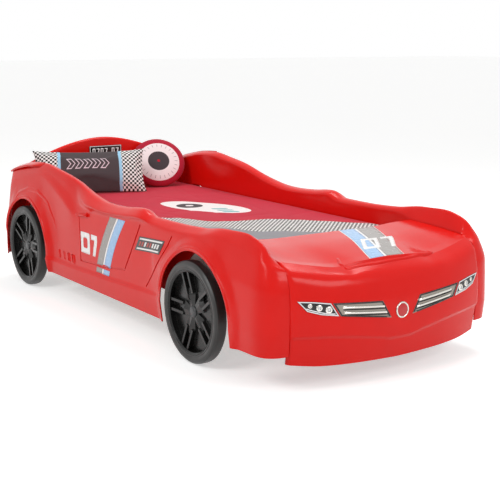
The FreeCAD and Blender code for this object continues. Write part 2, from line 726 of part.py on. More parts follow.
def pillow_shape(width, height, thickness):
    """A plump pillow in the YZ plane: a crown each side, edges drawn in between the corners."""
    count = 16
    grids = []
    for face in (1, -1):
        grid = []
        for i in range(count + 1):
            a = -math.cos(math.pi * i / count)
            row = []
            for j in range(count + 1):
                b = -math.cos(math.pi * j / count)
                y = width / 2 * a * (1 - 0.07 * (1 - b * b))
                z = height / 2 * b * (1 - 0.10 * (1 - a * a))
                plump = ((1 - a * a) * (1 - b * b)) ** 0.45
                row.append(V(face * (2.0 + thickness / 2 * plump), y, z))
            grid.append(row)
        grids.append(grid)
    return layer(grids[0], grids[1])


pillow_width, pillow_height, pillow_thickness = 585.0, 265.0, 115.0
pillow_lean, pillow_turn = 30.0, -22.0
pillow_y = -150.0
cushion_radius, cushion_thickness = 145.0, 84.0
cushion_lean, cushion_turn = 36.0, -22.0
cushion_y = 280.0


def lean_on(shape, y, support):
    """Rests a shape on the bedspread and slides it back until it leans on the support."""
    extent = shape.optimalBoundingBox(False)
    shape.translate(V(head_x + 60 - extent.XMin, y, mattress_top + seam - extent.ZMin))
    for step in range(4):
        shape.translate(V(seam - shape.distToShape(support)[0], 0, 0))
    return shape


def pillow(support):
    shape = pillow_shape(pillow_width, pillow_height, pillow_thickness)
    shape.rotate(V(0, 0, 0), V(0, 1, 0), -pillow_lean)
    shape.rotate(V(0, 0, 0), V(0, 0, 1), pillow_turn)
    return lean_on(shape, pillow_y, support)


def round_cushion(support):
    r, t = cushion_radius, cushion_thickness / 2
    points = [V(t, 0, 0), V(t * 0.97, 0, r * 0.35), V(t * 0.82, 0, r * 0.7), V(t * 0.5, 0, r * 0.93), V(0, 0, r),
              V(-t * 0.5, 0, r * 0.93), V(-t * 0.82, 0, r * 0.7), V(-t * 0.97, 0, r * 0.35), V(-t, 0, 0)]
    curve = Part.BSplineCurve()
    curve.interpolate(points)
    outline = Part.Wire([curve.toShape(), Part.makeLine(points[-1], points[0])])
    shape = Part.Face(outline).revolve(V(0, 0, 0), V(1, 0, 0), 360)
    shape.rotate(V(0, 0, 0), V(0, 1, 0), -cushion_lean)
    shape.rotate(V(0, 0, 0), V(0, 0, 1), cushion_turn)
    return lean_on(shape, cushion_y, support)


# ---------------------------------------------------------------- plates, stays and screws
number_plate_y, number_plate_z = 16.0, 634.0
number_plate_width, number_plate_height = 190.0, 57.0


def number_plate():
    x = head_x + seam
    plate = box(x, x + 3, number_plate_y - number_plate_width / 2, number_plate_y + number_plate_width / 2,
                number_plate_z - number_plate_height / 2, number_plate_z + number_plate_height / 2)
    return plate.makeFillet(5, [e for e in plate.Edges if abs(e.BoundBox.XMax - e.BoundBox.XMin) > 2])


stay_height = 40.0
stay_x = [x_mid - 260, x_mid, x_mid + 330]


def side_stays():
    """Wood blocks that hold the flank off the rail; they clear the screws."""
    y0 = body_half_width - side_depth + shell_wall + seam
    blocks = group([box(x - 30, x + 30, y0, body_half_width - 36, rail_bottom + 5, rail_bottom + 5 + stay_height)
                    for x in stay_x])
    return blocks.cut(side_layer(-2, shell_wall + seam))


def shell_screws():
    y_wall = body_half_width - side_depth + shell_wall + frame_gap
    screws = []
    for x in shell_screw_x:
        head = cylinder_y(x, y_wall, y_wall + 3, screw_height, screw_radius * 2)
        screws.append(head.fuse(cylinder_y(x, rail_inner + 6, y_wall, screw_height, screw_radius)))
    return group(screws)


nose_stay_y = 210.0


def nose_stays():
    """Boards from the foot rail forward to the inside of the bumper."""
    boards = group([box(cowl_x + shell_wall + seam + frame_gap, x_nose, side * nose_stay_y - 10, side * nose_stay_y + 10,
                        rail_bottom, rail_bottom + 60) for side in (-1, 1)])
    return boards.cut(nose_layer(-80, shell_wall + seam))


def main():
    left_side = make_left_side()
    save("left_side_shell", left_side)
    save("right_side_shell", mirrored(left_side))

    inserts = {"grille": grille_outline, "headlamp": lamp_outline}
    mirror_outline = {k: [(-y, z) for y, z in v] for k, v in inserts.items()}
    pocket_layer = nose_layer(-30, pocket_depth)
    insert_layer = nose_layer(-0.6, pocket_depth - seam)
    pockets = [nose_insert(o, 0, pocket_layer) for o in list(inserts.values()) + list(mirror_outline.values())]
    pockets.append(badge_tool(badge_radius + insert_fit).common(pocket_layer))
    save("nose_shell", nose_layer(0, shell_wall).cut(pockets))
    for name in inserts:
        save(name + "_left", nose_insert(inserts[name], insert_fit, insert_layer))
        save(name + "_right", nose_insert(mirror_outline[name], insert_fit, insert_layer))
    save("nose_badge", badge_tool(badge_radius).common(nose_layer(-3, pocket_depth - seam)))

    tail = tail_layer(0, shell_wall)
    save("tail_shell", tail)
    lip = side_lip()
    save("spoiler_left", lip)
    save("spoiler_right", mirrored(lip))
    save("spoiler_centre", tail_lip())
    head_plate = number_plate()
    save("number_plate", head_plate)
    plate = side_plate()
    save("side_plate_left", plate)
    save("side_plate_right", mirrored(plate))

    rail_solid = side_rail()
    save("side_rail_left", rail_solid)
    save("side_rail_right", mirrored(rail_solid))
    save("head_rail", end_rail(head_rail_x))
    save("foot_rail", end_rail(foot_rail_x - rail_thickness))
    save("centre_beam", centre_beam())
    save("slats", slats())
    holders = slat_holders()
    save("slat_holders_left", holders)
    save("slat_holders_right", mirrored(holders))
    save("corner_legs", group([leg(x, y, rail_bottom) for x, y in leg_places]))
    save("centre_legs", group([leg(x, 0, beam_bottom) for x in centre_leg_x]))
    save("feet", group([foot(x, y) for x, y in leg_places + [(x, 0) for x in centre_leg_x]]))
    stays = side_stays()
    save("side_stays_left", stays)
    save("side_stays_right", mirrored(stays))
    save("nose_stays", nose_stays())
    screws = shell_screws()
    save("shell_screws_left", screws)
    save("shell_screws_right", mirrored(screws))

    for place, x, turn in (("front", x_front, front_spoke_turn), ("rear", x_rear, rear_spoke_turn)):
        for side, finish in (("left", lambda s: s), ("right", mirrored)):
            name = "_" + place + "_" + side
            save("tyre" + name, finish(tyre(x)))
            save("rim" + name, finish(rim(x, turn)))
            save("hub_cap" + name, finish(hub_cap(x)))
            save("axle" + name, finish(axle(x).fuse(axle_bracket(x))))
            save("axle_screw" + name, finish(axle_screw(x)))

    save("mattress", mattress())
    save("bedspread", bedspread())
    headboard = group([tail, head_plate])
    save("pillow", pillow(headboard))
    save("round_cushion", round_cushion(headboard))


front_spoke_turn = 34.7
rear_spoke_turn = 2.7

if __name__ == "__main__":
    main()
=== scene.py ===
"""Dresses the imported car-shaped bed: shells, stickers, lamps, wheels and bedding, with light and camera."""

import math

import bmesh
import bpy
from mathutils import Euler, Matrix, Vector, noise
from mathutils.bvhtree import BVHTree


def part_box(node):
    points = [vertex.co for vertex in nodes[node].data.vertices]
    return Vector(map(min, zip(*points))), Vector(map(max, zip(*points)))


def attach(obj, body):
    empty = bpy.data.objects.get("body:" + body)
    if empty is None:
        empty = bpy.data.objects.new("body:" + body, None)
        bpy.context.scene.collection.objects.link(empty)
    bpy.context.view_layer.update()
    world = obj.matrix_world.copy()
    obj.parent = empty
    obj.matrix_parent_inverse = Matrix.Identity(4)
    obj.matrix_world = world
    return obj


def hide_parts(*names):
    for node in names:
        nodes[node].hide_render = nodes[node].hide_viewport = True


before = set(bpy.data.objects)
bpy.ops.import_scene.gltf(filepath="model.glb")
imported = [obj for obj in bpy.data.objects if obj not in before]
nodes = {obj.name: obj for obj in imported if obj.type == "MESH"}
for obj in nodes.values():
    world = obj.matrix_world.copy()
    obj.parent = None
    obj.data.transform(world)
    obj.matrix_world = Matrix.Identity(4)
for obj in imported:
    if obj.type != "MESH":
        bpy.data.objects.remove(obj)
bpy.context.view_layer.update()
scene = bpy.context.scene
mm = 0.001

# ---------------- sizes shared with the CAD, in mm
x_front_axle, x_rear_axle, axle_height = 661.0, -971.0, 202.0
arch_radius, arch_shift = 240.0, 22.0  # an arch's middle lies this far ahead of its axle
front_arch_reach = 26.0  # the front arch is that much longer ahead of the wheel
bed_top = 440.0
mattress_x = (-1167.0, 733.0)
half_width = 450.0
sides = ((-1, "right"), (1, "left"))


# ---------------- shader helpers
def srgb(code):
    """'D62A26' as the linear colour that Blender's sockets take."""
    parts = [int(code[i:i + 2], 16) / 255 for i in (0, 2, 4)]
    return (*(c / 12.92 if c <= 0.04045 else ((c + 0.055) / 1.055) ** 2.4 for c in parts), 1.0)


def add(material, kind, links=None, **settings):
    """Adds one shader node: settings are its own properties, links maps an input to a socket or value."""
    node = material.node_tree.nodes.new("ShaderNode" + kind)
    for name, value in settings.items():
        setattr(node, name, value)
    for name, value in (links or {}).items():
        if isinstance(value, bpy.types.NodeSocket):
            material.node_tree.links.new(value, node.inputs[name])
        else:
            node.inputs[name].default_value = value
    return node


def new_material(name, **sockets):
    """A material whose Principled sockets are set, and the shader node itself."""
    material = bpy.data.materials.new(name)
    material.use_nodes = True
    shader = material.node_tree.nodes["Principled BSDF"]
    for socket, value in sockets.items():
        shader.inputs[socket.replace("_", " ")].default_value = value
    return material, shader


def link(material, output, target):
    material.node_tree.links.new(output, target)


def choose(material, factor, below, above):
    """Colour `above` where the factor is 1 and `below` where it is 0."""
    mix = add(material, "Mix", {"Factor": factor, "A": below, "B": above}, data_type="RGBA")
    return mix.outputs["Result"]


def moulded(name, colour, roughness, ior, grain_mm, grain_depth_mm, tone=0.06, rough_spread=0.05,
            wave_mm=0.0, edge_mm=0.0, **sockets):
    """A moulded or coated surface: grain of one real size, clouded tone and gloss, and softened edges."""
    material, shader = new_material(name, IOR=ior, **sockets)
    place = add(material, "TexCoord").outputs["Object"]
    cloud = add(material, "TexNoise", {"Vector": place, "Scale": 1000 / 90, "Detail": 3.0})
    darker = [c * (1 - tone) for c in srgb(colour)[:3]] + [1.0]
    lighter = [min(1.0, c * (1 + tone)) for c in srgb(colour)[:3]] + [1.0]
    base = choose(material, cloud.outputs["Fac"], darker, lighter)
    link(material, base, shader.inputs["Base Color"])
    smear = add(material, "TexNoise", {"Vector": place, "Scale": 1000 / 35, "Detail": 5.0})
    gloss = add(material, "MapRange", {"Value": smear.outputs["Fac"], "From Min": 0.3, "From Max": 0.7,
                                       "To Min": max(0.02, roughness - rough_spread),
                                       "To Max": roughness + rough_spread})
    link(material, gloss.outputs["Result"], shader.inputs["Roughness"])
    grain = add(material, "TexNoise", {"Vector": place, "Scale": 1000 / grain_mm, "Detail": 2.0})
    bump = add(material, "Bump", {"Height": grain.outputs["Fac"], "Distance": grain_depth_mm * mm,
                                  "Strength": 1.0})
    if edge_mm:
        edge = add(material, "Bevel", {"Radius": edge_mm * mm}, samples=4)
        link(material, edge.outputs["Normal"], bump.inputs["Normal"])
    if wave_mm:
        wave = add(material, "TexNoise", {"Vector": place, "Scale": 1000 / 160, "Detail": 1.0})
        bump = add(material, "Bump", {"Height": wave.outputs["Fac"], "Distance": wave_mm * mm,
                                      "Normal": bump.outputs["Normal"]})
    link(material, bump.outputs["Normal"], shader.inputs["Normal"])
    return material


# Thermoformed ABS sheet, high gloss: a faint orange peel, and a lazy wave in its reflections.
glossy_red_abs = moulded("glossy_red_abs", "DE150E", 0.20, 1.53, 5.0, 0.012, tone=0.05, rough_spread=0.04,
                         wave_mm=0.35, edge_mm=2.0, Specular_IOR_Level=0.17)
# Blow-moulded tyre: black, soft satin, with a dusty bloom.
tyre_black = moulded("tyre_black_polyethylene", "232221", 0.40, 1.51, 1.6, 0.03, tone=0.25,
                     rough_spread=0.08, edge_mm=2.0)
# Injection-moulded rim: satin black plastic whose edges catch the light.
rim_black = moulded("rim_satin_black_abs", "121110", 0.26, 1.53, 1.2, 0.015, tone=0.2, rough_spread=0.07,
                    edge_mm=1.6, Specular_IOR_Level=0.32)
# The same moulding in dark grey: the cap reads a shade lighter than its spokes.
cap_grey = moulded("hub_cap_satin_grey_abs", "2C2D2F", 0.28, 1.53, 1.2, 0.015, tone=0.15, edge_mm=1.0)
# Glass-filled nylon for feet, stubs and holders: dull, with a fine spark texture.
nylon_black = moulded("black_nylon", "17181A", 0.55, 1.53, 0.9, 0.03, tone=0.2, edge_mm=0.8)
# Moulded insert behind the grille bars, sprayed gunmetal: a soft, slightly grainy metal shine.
gunmetal = moulded("grille_gunmetal_paint", "968F86", 0.42, 1.5, 1.5, 0.02, tone=0.12, Metallic=0.6)
# Polished black housing: sharp small highlights, and no grain to be seen.
lamp_black = moulded("lamp_housing_black", "0E0F10", 0.12, 1.5, 2.0, 0.01, tone=0.2)
gloss_black = moulded("gloss_black_abs", "141415", 0.16, 1.53, 4.0, 0.01, tone=0.15, edge_mm=0.6)
# Vacuum-metallised plastic: bright, slightly warm, a little milky.
bright_metal = moulded("vacuum_metallised_trim", "D9D6CF", 0.16, 1.5, 3.0, 0.008, tone=0.05, Metallic=1.0)
# Zinc-plated screws: pale, slightly blue, half dull.
zinc = moulded("zinc_plated_steel", "B9BBBE", 0.33, 1.5, 0.8, 0.01, tone=0.1, Metallic=1.0)
# Frosted acrylic over the lamps: white, smooth, with a clean shine.
white_lens = moulded("milky_lamp_strip", "EDEFF0", 0.14, 1.5, 3.0, 0.01, tone=0.03)
# Printed cast vinyl, laid on the shells: satin, with a faint lacquer ripple.
vinyl_white = moulded("vinyl_white", "F4F3F1", 0.26, 1.5, 3.0, 0.008, tone=0.02)
vinyl_blue = moulded("vinyl_pale_blue", "9CC3EA", 0.26, 1.5, 3.0, 0.008, tone=0.03)
vinyl_grey = moulded("vinyl_warm_grey", "9D9894", 0.26, 1.5, 3.0, 0.008, tone=0.04)
vinyl_red = moulded("vinyl_brick_red", "B5443C", 0.30, 1.5, 3.0, 0.008, tone=0.05)
# Poured enamel in the badge: deep red, glass-smooth.
enamel_red = moulded("badge_red_enamel", "C41E22", 0.10, 1.5, 5.0, 0.006, tone=0.05)


def board_melamine():
    """Melamine-faced chipboard: pale, with a fine wood print along the board."""
    material, shader = new_material("melamine_board", Roughness=0.42, IOR=1.5)
    place = add(material, "TexCoord").outputs["Object"]
    stretched = add(material, "Mapping", {"Vector": place, "Scale": (1000 / 400, 1000 / 9, 1000 / 9)})
    figure = add(material, "TexNoise", {"Vector": stretched.outputs["Vector"], "Scale": 1.0, "Detail": 6.0})
    tint = choose(material, figure.outputs["Fac"], srgb("C9C4BA"), srgb("E6E2DA"))
    link(material, tint, shader.inputs["Base Color"])
    bump = add(material, "Bump", {"Height": figure.outputs["Fac"], "Distance": 0.00005})
    link(material, bump.outputs["Normal"], shader.inputs["Normal"])
    return material


def birch_slat():
    """Lacquered birch: rings drawn out along the slat, with short dark flecks."""
    material, shader = new_material("birch_slat", Roughness=0.38, IOR=1.5)
    place = add(material, "TexCoord").outputs["Object"]
    drawn = add(material, "Mapping", {"Vector": place, "Scale": (1000 / 12, 1000 / 260, 1000 / 12)})
    grain = add(material, "TexNoise", {"Vector": drawn.outputs["Vector"], "Scale": 1.0, "Detail": 7.0,
                                       "Distortion": 0.6})
    tint = choose(material, grain.outputs["Fac"], srgb("A8814F"), srgb("E2C597"))
    link(material, tint, shader.inputs["Base Color"])
    bump = add(material, "Bump", {"Height": grain.outputs["Fac"], "Distance": 0.00012})
    link(material, bump.outputs["Normal"], shader.inputs["Normal"])
    return material


def weave(material, shader, place, thread_mm, depth_mm):
    """Plain weave as bump: two crossed sets of threads, drawn about six times too wide so that they show."""
    scale = 1000 / thread_mm / 20  # a wave of scale 1 turns through 20 radians a metre
    warp, weft = (add(material, "TexWave", {"Vector": place, "Scale": scale, "Distortion": 0.4},
                      bands_direction=axis) for axis in "XY")
    both = add(material, "Math", {0: warp.outputs["Fac"], 1: weft.outputs["Fac"]}, operation="MULTIPLY")
    bump = add(material, "Bump", {"Height": both.outputs["Value"], "Distance": depth_mm * mm,
                                  "Strength": 0.7})
    link(material, bump.outputs["Normal"], shader.inputs["Normal"])


def over(material, value, limit):
    """1 where the value is above the limit, and 0 elsewhere."""
    return add(material, "Math", {0: value, 1: limit}, operation="GREATER_THAN").outputs["Value"]


def print_and_shade_mask(material, name):
    """1 inside a printed motif, and inside the bedspread's painted shade strip: the mesh carries the signed
    distance to its outline.
    """
    return over(material, add(material, "Attribute", attribute_name=name).outputs["Fac"], 0.0)


check_mm = 11.5  # one square of the printed checks


def checks(material, place):
    """Black and white checks, from X and Y in metres."""
    cells = add(material, "Mapping", {"Vector": place, "Scale": (1000 / check_mm, 1000 / check_mm, 1.0)})
    flat = add(material, "VectorMath", {0: cells.outputs["Vector"], 1: (1, 1, 0)}, operation="MULTIPLY")
    lifted = add(material, "VectorMath", {0: flat.outputs["Vector"], 1: (0, 0, 0.5)}, operation="ADD")
    board = add(material, "TexChecker", {"Vector": lifted.outputs["Vector"], "Scale": 1.0,
                                         "Color1": srgb("F2EFEC"), "Color2": srgb("23211F")})
    return board.outputs["Color"]


def cloth(name, roughness=0.85):
    """A matt fabric with a little sheen from its loose fibres."""
    return new_material(name, Roughness=roughness, IOR=1.45, Sheen_Weight=0.12, Sheen_Roughness=0.4,
                        Specular_IOR_Level=0.25)


def crimson_bedspread():
    """Printed cotton: crimson ground, checkered sash, pale roundel with dark and teal shapes, and grey
    painted shade ahead of the sash where the bonnet's rear lip meets the mattress.
    """
    material, shader = cloth("crimson_cotton_print_and_shade")
    place = add(material, "TexCoord").outputs["Object"]
    cloud = add(material, "TexNoise", {"Vector": place, "Scale": 6.0, "Detail": 4.0})
    colour = choose(material, cloud.outputs["Fac"], srgb("B8142F"), srgb("C81C38"))
    colour = choose(material, print_and_shade_mask(material, "sash"), colour, checks(material, place))
    # grey ahead of the sash: painted shade, standing for the shadow in the gap between the mattress and the
    # bonnet's rear lip
    colour = choose(material, print_and_shade_mask(material, "painted_gap_shade"), colour, srgb("8F8E92"))
    colour = choose(material, print_and_shade_mask(material, "roundel"), colour, srgb("F1E9E7"))
    colour = choose(material, print_and_shade_mask(material, "dial"), colour, srgb("433A3E"))
    colour = choose(material, print_and_shade_mask(material, "bars"), colour, srgb("6FB2B5"))
    link(material, colour, shader.inputs["Base Color"])
    weave(material, shader, place, 1.2, 0.12)
    return material


def chevrons(material, place):
    """A row of outlined chevrons on a panel's UV in metres: strokes 5 mm wide, one chevron every 44 mm."""
    def calc(operation, *values):
        return add(material, "Math", dict(enumerate(values)), operation=operation).outputs["Value"]

    middle, half_pitch, half_stroke, lean = 0.022, 0.022, 0.0026, 0.75
    arm_reach, cap_height, cap_reach, row_middle, half_row = 0.030, 0.0275, 0.0135, 0.008, 0.110
    split = add(material, "SeparateXYZ", {"Vector": place})
    along, up = split.outputs["X"], split.outputs["Y"]
    arm = calc("ABSOLUTE", calc("SUBTRACT", up, middle))
    swept = calc("MULTIPLY_ADD", arm, lean, along)
    step = calc("ABSOLUTE", calc("WRAP", swept, half_pitch, -half_pitch))
    stroke = calc("LESS_THAN", calc("ABSOLUTE", calc("SUBTRACT", step, half_pitch / 2)), half_stroke)
    within = calc("LESS_THAN", arm, arm_reach)
    off_cap = calc("ABSOLUTE", calc("SUBTRACT", arm, cap_height))
    cap = calc("MULTIPLY", calc("LESS_THAN", off_cap, half_stroke), calc("LESS_THAN", step, cap_reach))
    row = calc("LESS_THAN", calc("ABSOLUTE", calc("ADD", swept, -row_middle)), half_row)
    return calc("MULTIPLY", calc("MAXIMUM", calc("MULTIPLY", stroke, within), cap), row)


def pillow_print():
    """Printed cotton pillow: dark middle, pale blue bands, checkered ends; UV in metres from the middle."""
    bands_from, checks_from = 0.152, 0.168
    material, shader = cloth("pillow_cotton_print")
    place = add(material, "UVMap", uv_map="panel").outputs["UV"]
    along = add(material, "SeparateXYZ", {"Vector": place}).outputs["X"]
    reach = add(material, "Math", {0: along}, operation="ABSOLUTE").outputs["Value"]
    colour = choose(material, chevrons(material, place), srgb("4B4244"), srgb("DCC6CE"))
    colour = choose(material, over(material, reach, bands_from), colour, srgb("9CCBE6"))
    colour = choose(material, over(material, reach, checks_from), colour, checks(material, place))
    link(material, colour, shader.inputs["Base Color"])
    weave(material, shader, place, 1.2, 0.12)
    return material


def roundel_print():
    """Plush round cushion: crimson border, pale ring with tick marks like a dial, dark middle, red dot."""
    dot, dark_disc, pale_disc, drop = 0.008, 0.058, 0.114, 0.012  # radii, and how low the dial sits
    ticks, tick_share, tick_inner, tick_outer = 24, 0.12, 0.088, 0.104
    material, shader = cloth("round_cushion_plush", 0.9)
    sewn = add(material, "UVMap", uv_map="panel").outputs["UV"]
    place = add(material, "Mapping", {"Vector": sewn, "Location": (0, drop, 0)}).outputs["Vector"]
    radius = add(material, "VectorMath", {0: place}, operation="LENGTH").outputs["Value"]
    split = add(material, "SeparateXYZ", {"Vector": place})
    angle = add(material, "Math", {0: split.outputs["Y"], 1: split.outputs["X"]}, operation="ARCTAN2")
    turns = add(material, "Math", {0: angle.outputs["Value"], 1: ticks / (2 * math.pi)}, operation="MULTIPLY")
    saw = add(material, "Math", {0: turns.outputs["Value"]}, operation="FRACT")
    tick = add(material, "Math", {0: saw.outputs["Value"], 1: tick_share}, operation="LESS_THAN")
    outer = add(material, "Math", {0: radius, 1: tick_outer}, operation="LESS_THAN")
    inner = over(material, radius, tick_inner)
    band = add(material, "Math", {0: outer.outputs["Value"], 1: inner}, operation="MULTIPLY")
    mark = add(material, "Math", {0: band.outputs["Value"], 1: tick.outputs["Value"]}, operation="MULTIPLY")
    pale = choose(material, mark.outputs["Value"], srgb("EEDFDF"), srgb("A9989A"))
    front = print_and_shade_mask(material, "front")
    colour = choose(material, over(material, radius, dot), srgb("B5182F"), srgb("463D40"))
    colour = choose(material, over(material, radius, dark_disc), colour, pale)
    colour = choose(material, over(material, radius, pale_disc), colour, srgb("AE1B33"))
    colour = choose(material, front, srgb("AE1B33"), colour)
    link(material, colour, shader.inputs["Base Color"])
    weave(material, shader, place, 1.5, 0.18)
    return material


def mattress_knit():
    """Quilted knit: warm white, with a soft uneven tone."""
    material, shader = cloth("mattress_quilted_knit")
    place = add(material, "TexCoord").outputs["Object"]
    cloud = add(material, "TexNoise", {"Vector": place, "Scale": 9.0})
    link(material, choose(material, cloud.outputs["Fac"], srgb("E4E1DA"), srgb("F2F0EA")),
         shader.inputs["Base Color"])
    weave(material, shader, place, 1.6, 0.15)
    return material


# ---------------- carried-over CAD nodes get their finishes
board = board_melamine()
finishes = {  # the first name that a node's name starts with gives its finish
    "left_side_shell": glossy_red_abs, "right_side_shell": glossy_red_abs, "nose_shell": glossy_red_abs,
    "tail_shell": glossy_red_abs, "spoiler": glossy_red_abs,
    "grille": gunmetal, "headlamp": lamp_black, "nose_badge": bright_metal, "number_plate": gloss_black,
    "side_plate": gloss_black, "tyre": tyre_black, "rim": rim_black, "hub_cap": cap_grey,
    "axle_screw": zinc, "axle_": nylon_black, "shell_screws": zinc,
    "side_rail": board, "head_rail": board, "foot_rail": board, "centre_beam": board, "corner_legs": board,
    "centre_legs": board, "nose_stays": board, "side_stays": board,
    "slat_holders": nylon_black, "slats": birch_slat(), "feet": nylon_black,
}
for name, node in nodes.items():
    key = next((start for start in finishes if name.startswith(start)), None)
    if key:
        node.data.materials.clear()
        node.data.materials.append(finishes[key])


# ---------------- mesh helpers
def surface_of(*names):
    """A search tree over CAD nodes, to lay pieces on their surfaces."""
    points, faces = [], []
    for name in names:
        mesh = nodes[name].data
        first = len(points)
        points += [v.co.copy() for v in mesh.vertices]
        faces += [[first + i for i in p.vertices] for p in mesh.polygons]
    return BVHTree.FromPolygons(points, faces)


flanks = {side: surface_of(f"{word}_side_shell", f"side_plate_{word}") for side, word in sides}
nose_face = surface_of("nose_shell", "grille_left", "grille_right", "headlamp_left", "headlamp_right",
                       "nose_badge")
bonnet = surface_of("nose_shell")
head_face = surface_of("number_plate")

# a flat piece is drawn on a sheet clear of the bed, and pressed onto it from there
from_above, press_down = (lambda u, v: Vector((u, v, 0.7))), Vector((0, 0, -1))
from_front, press_back = (lambda u, v: Vector((1.4, u, v))), Vector((-1, 0, 0))
from_bed, press_to_head = (lambda u, v: Vector((-0.9, u, v))), Vector((-1, 0, 0))


def finish_piece(name, bm, material):
    """Turns a bmesh into an object of the scene that rides on the bed."""
    mesh = bpy.data.meshes.new(name)
    bm.to_mesh(mesh)
    bm.free()
    for face in mesh.polygons:
        face.use_smooth = True
    mesh.materials.append(material)
    piece = bpy.data.objects.new(name, mesh)
    scene.collection.objects.link(piece)
    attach(piece, "bed")
    return piece


def add_modifier(piece, kind, **settings):
    modifier = piece.modifiers.new(kind.title(), kind)
    for key, value in settings.items():
        setattr(modifier, key, value)
    return modifier


def cut_cells(bm, size):
    """Cuts flat faces into cells no larger than size, so that they can follow a curved surface."""
    for axis in (0, 1):
        low = min(v.co[axis] for v in bm.verts)
        high = max(v.co[axis] for v in bm.verts)
        count = int((high - low) / size)
        normal = Vector((1, 0, 0)) if axis == 0 else Vector((0, 1, 0))
        for i in range(1, count + 1):
            bmesh.ops.bisect_plane(bm, geom=bm.verts[:] + bm.edges[:] + bm.faces[:], plane_no=normal,
                                   plane_co=normal * (low + i * (high - low) / (count + 1)))
    bmesh.ops.triangulate(bm, faces=[f for f in bm.faces if len(f.verts) > 4])


def lay(bm, surface, start, direction):
    """Wraps a flat mesh onto a surface: start(x, y) is where to aim from, z is the height above it."""
    outward = Vector()
    for vert in bm.verts:
        hit, normal, _, _ = surface.ray_cast(start(vert.co.x, vert.co.y), direction)
        if hit is None:
            raise ValueError(f"nothing to lay the piece on at {vert.co.x:.3f}, {vert.co.y:.3f}")
        if normal.dot(direction) > 0:
            normal = -normal
        outward += normal
        vert.co = hit + normal * vert.co.z
    bm.normal_update()
    facing = sum((f.normal * f.calc_area() for f in bm.faces), Vector())
    if facing.dot(outward) < 0:
        bmesh.ops.reverse_faces(bm, faces=bm.faces)


def polygon(points, ring=0.0):
    """A flat face through a few points in millimetres, or only a ring of it, that wide."""
    bm = bmesh.new()
    face = bm.faces.new([bm.verts.new((u * mm, v * mm, 0)) for u, v in points])
    bm.normal_update()
    if ring:
        kept = set(bmesh.ops.inset_region(bm, faces=[face], thickness=ring * mm, use_boundary=True,
                                          use_even_offset=True)["faces"])
        bmesh.ops.delete(bm, geom=[f for f in bm.faces if f not in kept], context="FACES")
    return bm


def raise_all(bm, height_mm):
    """Sets how far above its surface a flat piece will lie."""
    bmesh.ops.translate(bm, verts=bm.verts, vec=(0, 0, height_mm * mm))


def patch(across, along, place):
    """A unit grid whose every point (0..1, 0..1) is moved by place() to millimetres on the sheet."""
    bm = bmesh.new()
    bmesh.ops.create_grid(bm, x_segments=across, y_segments=along, size=0.5)
    for vert in bm.verts:
        spot = place(vert.co.x + 0.5, vert.co.y + 0.5)
        vert.co = Vector((spot[0] * mm, spot[1] * mm, (spot[2] if len(spot) > 2 else 0) * mm))
    return bm


def joined(parts):
    """One bmesh out of several."""
    whole = bmesh.new()
    for part in parts:
        mesh = bpy.data.meshes.new("part")
        part.to_mesh(mesh)
        part.free()
        whole.from_mesh(mesh)
        bpy.data.meshes.remove(mesh)
    return whole


# ---------------- stickers
def zero(width, height, stroke):
    """A square-shouldered 0 with rounded corners, its lower left corner at the origin."""
    bm = polygon([(0, 0), (width, 0), (width, height), (0, height)], ring=stroke)
    corners = [v for v in bm.verts if len(v.link_edges) == 3]
    bmesh.ops.bevel(bm, geom=corners, offset=stroke * 0.35 * mm, segments=3, profile=0.5, affect="VERTICES",
                    material=-1)
    return bm


def seven(width, height, stroke):
    """A plain 7, its leg ending at two thirds of its width."""
    foot = width * 0.66
    return polygon([(0, height), (width, height), (width, height - stroke * 1.2), (foot, 0),
                    (foot - stroke * 1.05, 0), (width - stroke * 1.15, height - stroke),
                    (0, height - stroke)])


def shifted(bm, dx, dy):
    """Moves a flat piece by millimetres."""
    bmesh.ops.translate(bm, verts=bm.verts, vec=(dx * mm, dy * mm, 0))
    return bm


vinyl_mm = 0.35  # a sticker's thickness


def stick(name, bm, surface, start, direction, material, lift_mm=0.45, cell_mm=9.0):
    """Lays a sticker on a surface. A piece already drawn in cells has cell_mm 0."""
    if cell_mm:
        cut_cells(bm, cell_mm * mm)
    raise_all(bm, lift_mm)
    lay(bm, surface, start, direction)
    piece = finish_piece(name, bm, material)
    add_modifier(piece, "SOLIDIFY", thickness=vinyl_mm * mm, offset=-1.0)


def side_sheet(side):
    """A flank, where its stickers' sheet stands, and which way it is pressed on."""
    return flanks[side], (lambda u, v: Vector((u, side * 0.7, v))), Vector((0, -side, 0))


stripe_foot, stripe_head = 173.0, 474.0  # the door stripe's lean is measured between these heights
stripe_parts = (("sill", 204.0, 228.0), ("door", 241.0, stripe_head))  # each one's foot and head
stripe_tones = (("grey", 0, 57, vinyl_grey), ("white", 57, 69, vinyl_white), ("blue", 69, 127, vinyl_blue))
number_foot, number_height, number_stroke = 269.0, 97.0, 25.0
number_rear, number_front = -352.0, -184.0
zero_width, seven_width = 93, 62


def stripe_x(z, offset):
    """The door stripe leans forward as it rises, in a gentle arc, and widens by a tenth."""
    rise = z - stripe_foot
    spread = 1 + 0.10 * rise / (stripe_head - stripe_foot)
    return -205 + offset * spread + 0.16 * rise + 0.00126 * rise ** 2


def door_stickers(side, word):
    """The slanted stripe, broken at the door's foot, and the number 07."""
    flank, start, press = side_sheet(side)
    for tone, first, last, material in stripe_tones:
        for part, low, high in stripe_parts:
            bm = patch(8, max(3, int((high - low) / 8)), lambda a, b: (
                stripe_x(low + b * (high - low), first + a * (last - first)), low + b * (high - low)))
            stick(f"door_stripe_{tone}_{part}_{word}", bm, flank, start, press, material, cell_mm=0)
    for glyph, bm, left in (("zero", zero(zero_width, number_height, number_stroke), number_rear),
                            ("seven", seven(seven_width, number_height, number_stroke),
                             number_front - seven_width)):
        shifted(bm, left, number_foot)
        if side > 0:  # the left door's number reads from its own side, in the same place
            bmesh.ops.scale(bm, vec=(-1, 1, 1), verts=bm.verts)
            shifted(bm, number_rear + number_front, 0)
        stick(f"door_number_{glyph}_{word}", bm, flank, start, press, vinyl_white)


for side, word in sides:
    door_stickers(side, word)


